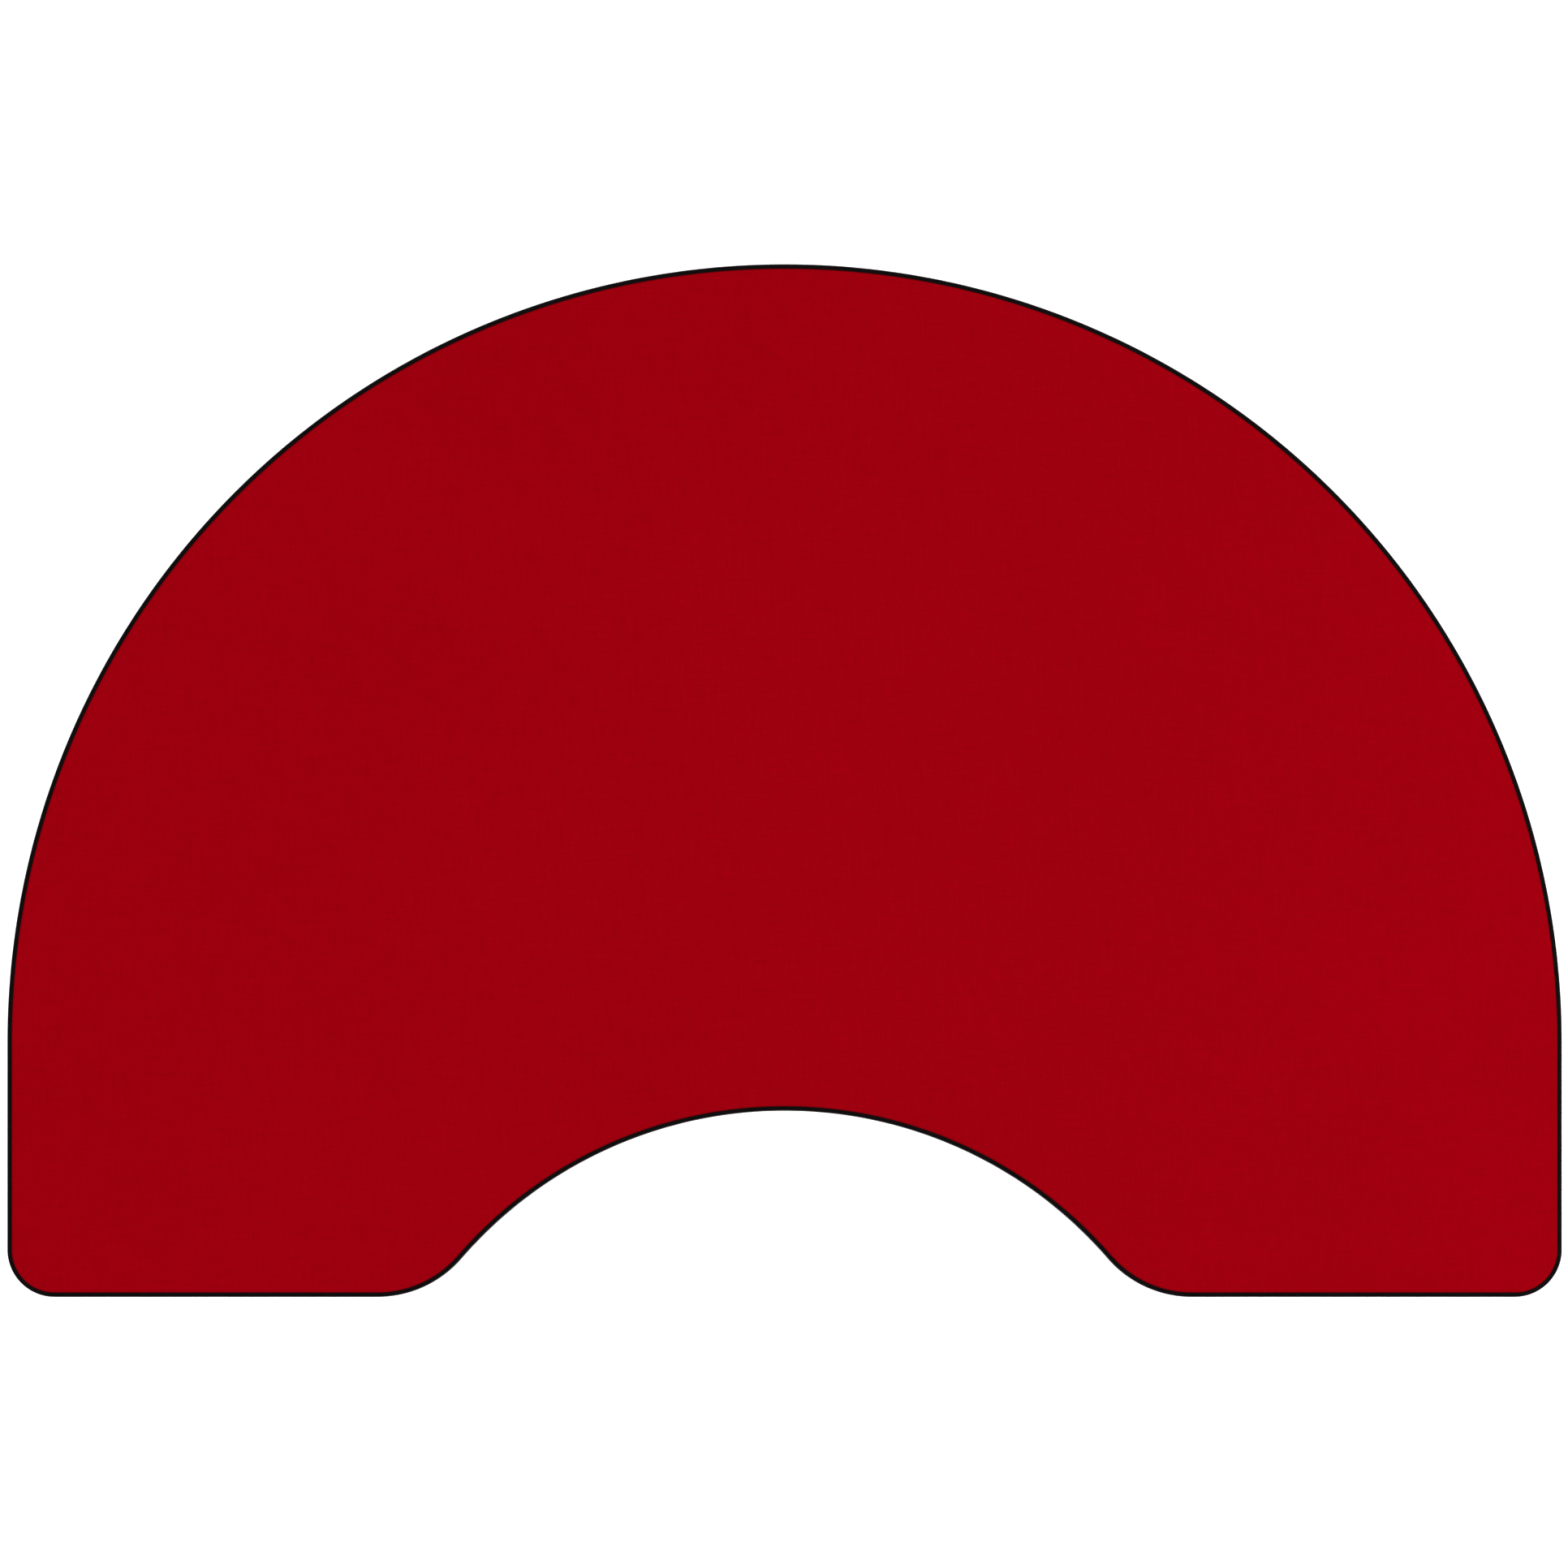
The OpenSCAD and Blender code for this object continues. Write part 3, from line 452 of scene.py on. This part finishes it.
def bare_pine():
    """Planed softwood: straight growth lines along y, a few small knots, pale yellow."""
    f = Finish("planed_pine", Roughness=0.65, Specular_IOR_Level=0.3)
    warp = f.noise(5, 2, 0.5)
    x, y, z = f.split(f.place)
    rows = f.math("ADD", f.math("MULTIPLY", z, 210.0), f.math("MULTIPLY", x, 170.0))
    rows = f.math("ADD", rows, f.math("MULTIPLY", warp, 5.0))
    lines = f.math("FRACT", rows)
    wood = f.ramp(lines, (0.0, (0.42, 0.25, 0.11)), (0.18, (0.62, 0.42, 0.22)), (1.0, (0.66, 0.47, 0.26)))
    knot = f.between(f.cells(7), 0.03, 0.075, 0.8, 0.0)
    f.colour(f.mix(knot, wood, (0.20, 0.09, 0.035)))
    f.relief((lines, 0.05 * MM), (f.noise(700, 3), 0.05 * MM))
    return f.material


def metal(name, dark, light, rough, grain, depth, metallic=1.0):
    """A metal skin whose tone and shine drift between two values, over fine grain and hair scratches."""
    f = Finish(name, Metallic=metallic, Roughness=sum(rough) / 2)
    cloud = f.noise(55, 3, 0.5)
    f.colour(f.ramp(cloud, (0.3, dark), (0.7, light)))
    scratch = f.noise(1.0, 2, 0.5, f.stretched(60, 2600, 2600, turn=0.7))
    shine = f.between(f.noise(110, 2, 0.5), 0.3, 0.7, *rough)
    f.roughness(f.math("ADD", shine, f.between(scratch, 0.66, 0.78, 0.0, 0.1)))
    f.relief((f.noise(grain, 2, 0.5), depth))
    return f.material


def powder_coat():
    """Black powder coat: a close pebbled skin with a dull shine and a trace of dust."""
    f = Finish("black_powder_coat", Roughness=0.5, Specular_IOR_Level=0.45)
    pebble = f.cells(1100, feature="SMOOTH_F1")
    dust = f.noise(30, 5, 0.7)
    f.colour(f.ramp(dust, (0.4, (0.011, 0.011, 0.012)), (0.85, (0.028, 0.027, 0.026))))
    f.roughness(f.between(dust, 0.3, 0.8, 0.42, 0.62))
    f.relief((pebble, 0.12 * MM))
    return f.material


def plastic(name, dark, light, rough, grain=900, depth=0.03 * MM, specular=0.5):
    """Moulded plastic or rubber with a faint grain and uneven shine."""
    f = Finish(name, Roughness=rough, Specular_IOR_Level=specular)
    cloud = f.noise(90, 4, 0.6)
    f.colour(f.ramp(cloud, (0.35, dark), (0.7, light)))
    f.roughness(f.between(cloud, 0.3, 0.75, rough - 0.06, rough + 0.08))
    f.relief((f.noise(grain, 3, 0.6), depth))
    return f.material


THREAD_PITCH = 0.6 * MM
CLOTH_DARK = (0.2039, 0.00001, 0.0025)
CLOTH_LIGHT = (0.2228, 0.00001, 0.0031)
red_cloth = woven_cloth()
foam_grey = open_foam()
vinyl = soft_vinyl()
plywood = birch_ply()
oak_arc = stained_oak("arc")
oak_side = stained_oak("side")
oak_front = stained_oak("front")
pine = bare_pine()
coated_steel = powder_coat()
zinc = metal("bright_zinc_plate", (0.52, 0.54, 0.57), (0.66, 0.67, 0.67), (0.3, 0.42), 1600, 0.008 * MM)
cast_iron = metal(
    "tumbled_casting", (0.055, 0.055, 0.058), (0.10, 0.10, 0.105), (0.5, 0.65), 800, 0.12 * MM, 0.85
)
black_steel = metal(
    "black_oxide_steel", (0.022, 0.022, 0.025), (0.045, 0.045, 0.05), (0.3, 0.46), 1100, 0.03 * MM
)
spring_steel = metal(
    "drawn_spring_wire", (0.30, 0.29, 0.27), (0.46, 0.45, 0.43), (0.2, 0.34), 2500, 0.01 * MM
)
white_nylon = plastic("turned_nylon", (0.60, 0.58, 0.52), (0.72, 0.71, 0.66), 0.45)
black_nylon = plastic("black_moulded_nylon", (0.012, 0.012, 0.013), (0.02, 0.02, 0.021), 0.5, 1300, 0.05 * MM)
rubber = plastic("black_rubber", (0.009, 0.009, 0.009), (0.02, 0.019, 0.019), 0.75, 500, 0.06 * MM, 0.3)

# ------------------------------------------------------------------ pieces of the top


def rounded_edge(bend, z):
    """Rings of a quarter round below a flat face at height z: (distance out, height)."""
    angles = np.radians(np.arange(15, 91, 15))
    return [(bend * math.sin(a), z - bend * (1 - math.cos(a))) for a in angles]


def cloth_cover():
    """The cloth: flat over the foam, round at the edge, then straight down into the moulding."""
    drops = rounded_edge(EDGE_BEND, CLOTH_Z)
    drops += [(EDGE_BEND, z) for z in np.linspace(CLOTH_Z - EDGE_BEND, SKIRT_Z, 4)[1:]]
    points, faces = turned_down(CLOTH_IN + EDGE_BEND, CLOTH_Z, drops)
    cover = piece("red_cloth_cover", points, faces, red_cloth, smooth=60)
    solid = cover.modifiers.new("thickness", "SOLIDIFY")
    solid.thickness = CLOTH_T
    solid.offset = -1.0
    return cover


def foam_layer():
    """The foam: a slab whose upper edge is pulled round under the cloth, closed by its flat underside."""
    columns, rows, inset, clear = 241, 41, CLOTH_IN + EDGE_BEND, 0.02 * MM
    top_z, low_z, bend = FOAM_Z - clear, PANEL_TOP_Z + clear, EDGE_BEND - CLOTH_T
    points, faces = turned_down(inset, top_z, rounded_edge(bend, top_z) + [(bend, low_z)], columns, rows)
    under = top_sheet(inset, low_z, columns, rows)
    faces += [face[::-1] for face in band(rows, columns, start=len(points))]
    loop = rim_of_grid(rows, columns)
    outer = len(points) - len(loop) + np.arange(len(loop))
    inner = len(points) + loop
    faces += np.column_stack([outer, inner, np.roll(inner, -1), np.roll(outer, -1)]).tolist()
    return piece("foam_layer", np.vstack([points, under]), faces, foam_grey, smooth=60)


def moulding_profile():
    """T section: a crowned face with small round edges, the back, the barbed tongue, and a lip underneath."""
    crown, edge_r = 1.1 * MM, 0.5 * MM
    middle, rise = (MOULD_LOW_Z + TOP_Z) / 2, (TOP_Z - MOULD_LOW_Z) / 2
    t = np.linspace(-1, 1, 33)
    face = np.column_stack([crown * t**2, middle + (rise - edge_r) * t])
    bend = np.radians(np.arange(20, 91, 14))
    top = np.column_stack([crown + edge_r * (1 - np.cos(bend)), TOP_Z - edge_r * (1 - np.sin(bend))])
    low = np.column_stack([crown + edge_r * (1 - np.cos(bend)), MOULD_LOW_Z + edge_r * (1 - np.sin(bend))])
    flange, slot_z = CLOTH_IN, (PANEL_Z + PANEL_TOP_Z) / 2
    half_tongue, barb, tip, lip = 0.8 * MM, 1.1 * MM, PANEL_IN + 10 * MM, 1 * MM
    barbs = PANEL_IN + np.array([3, 6, 9]) * MM
    above = [(x, slot_z + h) for x in barbs for h in (half_tongue, barb)]
    below = [(x, slot_z - h) for x in barbs[::-1] for h in (barb, half_tongue)]
    back = [(flange, TOP_Z), (flange, SKIRT_Z), (PANEL_IN, SKIRT_Z), (PANEL_IN, slot_z + half_tongue)]
    foot = [(PANEL_IN, slot_z - half_tongue), (PANEL_IN, PANEL_Z), (PANEL_IN + lip, PANEL_Z)]
    foot += [(PANEL_IN + lip, MOULD_LOW_Z)]
    return np.vstack([low[::-1], face, top, back, above, [(tip, slot_z)], below, foot])


def moulding(name, run):
    """The T section carried along a run."""
    profile = moulding_profile()
    points = carried(profile, run)
    faces = face_outwards(points, capped(len(run[0]), len(profile)))
    return piece(name, points, faces, vinyl, smooth=28)


cloth = cloth_cover()
foam = foam_layer()
right_rim, right_bay = half_rim(SHOULDER_X + BUTT_GAP), half_bay()
rim = moulding("rim_moulding", joined(right_rim, mirrored(right_rim)))
bay = moulding("bay_moulding", joined(mirrored(right_bay), right_bay))

for new, node, slot in (
    (cloth, "playing_cloth", "red_cloth"),
    (foam, "foam_underlay", "foam"),
    (rim, "edge_moulding_rim", "black_moulding"),
    (bay, "edge_moulding_bay", "black_moulding"),
):
    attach(new, "table")
    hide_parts(node)

# ------------------------------------------------------------------ bolts, nuts, feet and springs


def hexagon(across_corners, count):
    """Distance from the middle of a hexagon to its edge at each of count angles."""
    angle = np.linspace(0, 360, count, endpoint=False)
    return across_corners / 2 * math.cos(math.radians(30)) / np.cos(np.radians((angle + 30) % 60 - 30))


def thread(start, end, radius, pitch, count, groove=0.62 * MM):
    """Heights and radii of a helical thread from start to end, which fades out near both ends."""
    angle = np.linspace(0, 360, count, endpoint=False)
    fade_in, fade_out = 0.8 * MM, 1.2 * MM
    heights = np.arange(start, end, pitch / 8)
    phase = ((heights[:, None] - start) / pitch - angle[None, :] / 360) % 1
    ridge = np.clip(1.25 - np.abs(phase - 0.5) * 3, 0, 1)
    fade = np.clip(np.minimum((end - heights) / fade_out, (heights - start) / fade_in), 0, 1)
    return heights, radius - groove + groove * ridge * fade[:, None]


def rings(*rows, count=RING_COUNT):
    """Heights and radii of rings, each given as (height, radius or radii)."""
    heights = np.array([row[0] for row in rows])
    return heights, np.array([np.broadcast_to(row[1], (count,)) for row in rows])


def revolved(*stretches):
    """Points about the z axis from stretches of (heights, radii), one after another, and their faces."""
    heights = np.concatenate([stretch[0] for stretch in stretches])
    radii = np.concatenate([stretch[1] for stretch in stretches])
    angle = np.linspace(0, 2 * math.pi, radii.shape[1], endpoint=False)
    z = np.broadcast_to(heights[:, None], radii.shape)
    points = np.stack([radii * np.cos(angle), radii * np.sin(angle), z], axis=-1).reshape(-1, 3)
    return points, capped(len(heights), radii.shape[1])


def stood(name, shape, finish, pivot, smooth):
    """One object: a revolved shape whose axis stands upright under a leg's pivot."""
    points, faces = shape
    points = points + np.array([pivot[0], pivot[1], 0.0])
    return piece(name, points, face_outwards(points, faces), finish, smooth)


def on_every_pivot(name, shape, finish):
    """One object that holds a copy of a shape at each leg's pivot, its z axis lying along the hinge line."""
    points, faces = shape
    placed, copies = [], []
    for pivot, fold in STATIONS.values():
        side = np.array([-fold[1], fold[0], 0.0])
        copies += [[index + len(points) * len(placed) for index in face] for face in faces]
        placed.append(pivot + points[:, :1] * UP + points[:, 1:2] * fold + points[:, 2:] * side)
    placed = np.vstack(placed)
    return piece(name, placed, face_outwards(placed, copies), finish, smooth=25)


def hex_bolt():
    """M8 bolt along the hinge line: cut corners on its head, a washer face, a plain shank and a thread."""
    face, corner_r, washer_face_r = CHEEK_OUT, BOLT_CORNERS / 2, 6.3 * MM
    flats = hexagon(BOLT_CORNERS, RING_COUNT)
    tail = -face - 9.5 * MM
    cut = thread(tail, -CHEEK_IN, BOLT_R, BOLT_PITCH, RING_COUNT)
    start = rings((tail, BOLT_R - 1 * MM), (tail + 0.05 * MM, BOLT_R - 0.9 * MM))
    head = rings(
        (-CHEEK_IN, BOLT_R), (face, BOLT_R), (face, washer_face_r), (face + 0.4 * MM, washer_face_r),
        (face + 0.4 * MM, flats), (face + 4.6 * MM, flats),
        (face + 5.0 * MM, np.minimum(flats, corner_r - 0.5 * MM)),
        (face + 5.5 * MM, np.minimum(flats, corner_r - 1.3 * MM)),
    )
    return revolved(start, (cut[0][1:], cut[1][1:]), head)


def lock_nut():
    """Hexagon nut with cut corners and a rolled collar that holds a nylon ring."""
    face, corner_r, hole_r, collar_r = -CHEEK_OUT, BOLT_CORNERS / 2, BOLT_R + 0.05 * MM, 6.0 * MM
    flats = hexagon(BOLT_CORNERS, RING_COUNT)
    half_cut = np.minimum(flats, corner_r - 0.5 * MM)
    outside = rings(
        (face, hole_r), (face, corner_r - 1.1 * MM), (face - 0.4 * MM, half_cut), (face - 0.8 * MM, flats),
        (face - 4.3 * MM, flats), (face - 4.7 * MM, half_cut), (face - 5.0 * MM, corner_r - 1.2 * MM),
        (face - 5.1 * MM, collar_r), (face - 6.2 * MM, collar_r), (face - 6.7 * MM, collar_r - 0.2 * MM),
        (face - 7.0 * MM, 5.3 * MM), (face - 7.0 * MM, 4.9 * MM), (face - 6.5 * MM, 4.8 * MM),
        (face - 6.5 * MM, hole_r),
    )
    points, _ = revolved(outside)
    return points, band(len(outside[0]), RING_COUNT, round_rows=True, round_columns=True)


def threaded_foot(station, pivot):
    """A levelling foot: round disc, six-sided nut with cut corners, and a stem with a helical thread."""
    low, high = (corner[2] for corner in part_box("levelling_foot_" + station))
    disc_r, nut_r, neck_r = 15 * MM, 7.5 * MM, 6.4 * MM
    disc_z, nut_z = low + 3 * MM, low + 9 * MM
    flats = hexagon(2 * nut_r, RING_COUNT)
    half_cut, full_cut = np.minimum(flats, nut_r - 0.5 * MM), np.minimum(flats, nut_r - 1 * MM)
    disc = rings(
        (low, disc_r - 1.0 * MM), (low + 0.1 * MM, disc_r - 0.4 * MM), (low + 0.4 * MM, disc_r - 0.1 * MM),
        (low + 0.9 * MM, disc_r), (disc_z - 0.7 * MM, disc_r), (disc_z - 0.3 * MM, disc_r - 0.2 * MM),
        (disc_z, disc_r - 0.8 * MM), (disc_z, neck_r), (disc_z + 0.3 * MM, neck_r),
    )
    nut = rings(
        (disc_z + 0.3 * MM, full_cut), (disc_z + 0.6 * MM, half_cut), (disc_z + 0.9 * MM, flats),
        (nut_z - 0.6 * MM, flats), (nut_z - 0.3 * MM, half_cut), (nut_z, full_cut),
    )
    stem = thread(nut_z, high - 0.1 * MM, BOLT_R, BOLT_PITCH, RING_COUNT)
    tip = rings((high, BOLT_R - 1 * MM))
    return stood("threaded_foot_" + station, revolved(disc, nut, stem, tip), zinc, pivot, smooth=25)


def ribbed_pad(station, pivot):
    """A rubber pad: rounded rim, ribbed side, and rings of tread pressed into its underside.

    Each row of its profile is (radius, height) in millimetres, from the middle of the underside out, up
    the side, and down into the well that holds the foot's disc.
    """
    low, high = (corner[2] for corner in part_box("foot_pad_" + station))
    tread = [(0.5, 1.2), (3.6, 1.2), (4.0, 0.0), (6.6, 0.0), (7.0, 1.2), (8.6, 1.2), (9.0, 0.0), (11.6, 0.0)]
    tread += [(12.0, 1.2), (13.6, 1.2), (14.0, 0.0), (17.9, 0.0), (18.5, 0.25), (18.9, 0.7), (19.0, 1.3)]
    ribs = [(19.0 - 0.5 * (k % 2) - 0.28 * k, 1.6 + 0.55 * k) for k in range(8)]
    well = [(16.6, 6.4), (16.1, 6.8), (15.5, 7.0), (15.05, 7.0), (15.05, 6.2), (0.5, 6.2)]
    rows = [(min(low + z * MM, high), r * MM) for r, z in tread + ribs + well]
    return stood("ribbed_pad_" + station, revolved(rings(*rows, count=72)), rubber, pivot, smooth=30)


def spring_wire(station, fold):
    """A torsion spring: turns of round wire about the latch's pin, and two straight ends.

    The route is in the latch's own axes: along the fold, along the pin and up. One end stands up to the
    bracket's plate, and the other runs down to the lever's tab.
    """
    latch = next(joint for joint in frame["joints"] if joint["name"] == "latch_" + station)
    pin = np.array(latch["pos_m"])
    side = np.array([-fold[1], fold[0], 0.0])
    coil_r, wire_r, first, pitch = 4.6 * MM, 0.7 * MM, 6.6 * MM, 1.6 * MM
    per_turn, sides, steps = 40, 12, 10
    turns = 3 + 3 / 14  # the coil stops near its underside
    t = np.linspace(0, 2 * math.pi * turns, int(turns * per_turn))
    coil = np.column_stack([coil_r * np.cos(t), first + pitch * t / (2 * math.pi), -coil_r * np.sin(t)])
    plate_z = PANEL_Z - BRACKET_T - pin[2] - wire_r - 0.2 * MM
    rise = np.linspace([coil_r, first, plate_z], [coil_r, first, 0], steps)[:-1]
    tab = np.array([-13.6 * MM, coil[-1, 1], -23.2 * MM])
    fall = np.linspace(coil[-1], tab, steps)[1:]
    route = np.vstack([rise, coil, fall])
    along = np.gradient(route, axis=0)
    a = np.cross(along, [0.0, 1.0, 0.0])
    a /= np.linalg.norm(a, axis=1)[:, None]
    b = np.cross(along, a)
    b /= np.linalg.norm(b, axis=1)[:, None]
    ring = np.linspace(0, 2 * math.pi, sides, endpoint=False)
    round_wire = np.cos(ring)[:, None] * a[:, None] + np.sin(ring)[:, None] * b[:, None]
    local = (route[:, None] + wire_r * round_wire).reshape(-1, 3)
    points = pin + local[:, :1] * fold + local[:, 1:2] * side + local[:, 2:] * UP
    faces = face_outwards(points, capped(len(route), sides))
    return piece("spring_wire_" + station, points, faces, spring_steel, smooth=60)


bolts = on_every_pivot("pivot_hex_bolts", hex_bolt(), black_steel)
nuts = on_every_pivot("pivot_lock_nuts", lock_nut(), zinc)
for new, node, slot in ((bolts, "pivot_bolts", "black_steel"), (nuts, "pivot_nuts", "zinc_plate")):
    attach(new, "table")
    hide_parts(node)
for station, (pivot, fold) in STATIONS.items():
    foot = threaded_foot(station, pivot)
    pad = ribbed_pad(station, pivot)
    wire = spring_wire(station, fold)
    for new, body, node, slot in (
        (foot, "foot_", "levelling_foot_", "zinc_plate"),
        (pad, "foot_", "foot_pad_", "black_rubber"),
        (wire, "latch_", "latch_spring_", "spring_steel"),
    ):
        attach(new, body + station)
        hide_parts(node + station)

# ------------------------------------------------------------------ finishes of the other pieces

NODE_FINISHES = {
    "top_panel": plywood,
    "apron_rear": oak_arc,
    "apron_side": oak_side,
    "apron_front": oak_front,
    "apron_dealer": oak_front,
    "centre_rail": pine,
    "cross_rail": pine,
    "glue_blocks": pine,
    "angle_bracket": zinc,
    "leg_bracket": zinc,
    "pivot_washers": white_nylon,
    "latch_pins": zinc,
    "latch_lever": black_steel,
    "leg_bumpers": rubber,
    "leg_knuckle": cast_iron,
    "leg_tube": coated_steel,
    "knuckle_rivets": zinc,
    "foot_socket": black_nylon,
}
for name, node in frame["nodes"].items():
    for start, finish in NODE_FINISHES.items():
        if name.startswith(start):
            node.data.materials.clear()
            node.data.materials.append(finish)

# ------------------------------------------------------------------ floor, light and camera


def floor_finish():
    """Matte white studio floor with the faintest unevenness, clear from underneath."""
    f = Finish("white_studio_floor", Roughness=0.9, Specular_IOR_Level=0.1)
    f.colour(f.ramp(f.noise(2.0, 3), (0.3, (0.89, 0.89, 0.89)), (0.7, (0.91, 0.91, 0.91))))
    below = f.nodes.new("ShaderNodeNewGeometry").outputs["Backfacing"]
    f.links.new(f.math("SUBTRACT", 1.0, below), f.shader.inputs["Alpha"])
    return f.material


FLOOR_REACH = 30.0
floor_corners = FLOOR_REACH * np.array([[-1, -1, 0], [1, -1, 0], [1, 1, 0], [-1, 1, 0]])
floor = piece("studio_floor", floor_corners, [[0, 1, 2, 3]], floor_finish())


def lamp(name, kind, strength, place, aim, **settings):
    """A lamp at a place, turned to face a point."""
    data = bpy.data.lights.new(name, kind)
    data.energy = strength
    for key, value in settings.items():
        setattr(data, key, value)
    light = bpy.data.objects.new(name, data)
    place, aim = np.array(place), np.array(aim)
    towards = aim - place
    flat = math.hypot(towards[0], towards[1])
    light.rotation_euler = (math.atan2(flat, -towards[2]), 0, math.atan2(-towards[0], towards[1]))
    light.location = place
    bpy.context.scene.collection.objects.link(light)
    return light


overhead = lamp("overhead", "SUN", 1.2 * math.pi, (0, 0, 5), (0, 0, 0), angle=math.radians(3))
overhead.visible_glossy = False
lamp("side_softbox", "AREA", 34, (3.1, -0.6, 2.6), (0, 0, 0.6), shape="SQUARE", size=2.0)


def studio_world(lighting, seen):
    """Even white surroundings, dimmer as light than they look."""
    world = bpy.data.worlds.new("studio")
    bpy.context.scene.world = world
    world.use_nodes = True
    nodes, links = world.node_tree.nodes, world.node_tree.links
    backdrop = nodes["Background"]
    backdrop.inputs["Color"].default_value = (1, 1, 1, 1)
    path = nodes.new("ShaderNodeLightPath")
    strength = nodes.new("ShaderNodeMapRange")
    strength.inputs["To Min"].default_value = lighting
    strength.inputs["To Max"].default_value = seen
    links.new(path.outputs["Is Camera Ray"], strength.inputs["Value"])
    links.new(strength.outputs["Result"], backdrop.inputs["Strength"])


studio_world(lighting=0.35, seen=1.0)

SENSOR = 36.0
LENS = 200.0
SHOWN_WIDTH = 1.8452  # width of the camera's view at the height where the moulding stands out furthest
CAMERA_X = -0.7 * MM
CAMERA_Y = -4.0 * MM
camera_data = bpy.data.cameras.new("camera")
camera_data.lens = LENS
camera_data.sensor_width = SENSOR
camera_data.clip_end = 100.0
camera = bpy.data.objects.new("camera", camera_data)
camera.location = (CAMERA_X, CAMERA_Y, (TOP_Z + MOULD_LOW_Z) / 2 + SHOWN_WIDTH * LENS / SENSOR)
bpy.context.scene.collection.objects.link(camera)
bpy.context.scene.camera = camera
bpy.context.scene.view_settings.view_transform = "Standard"
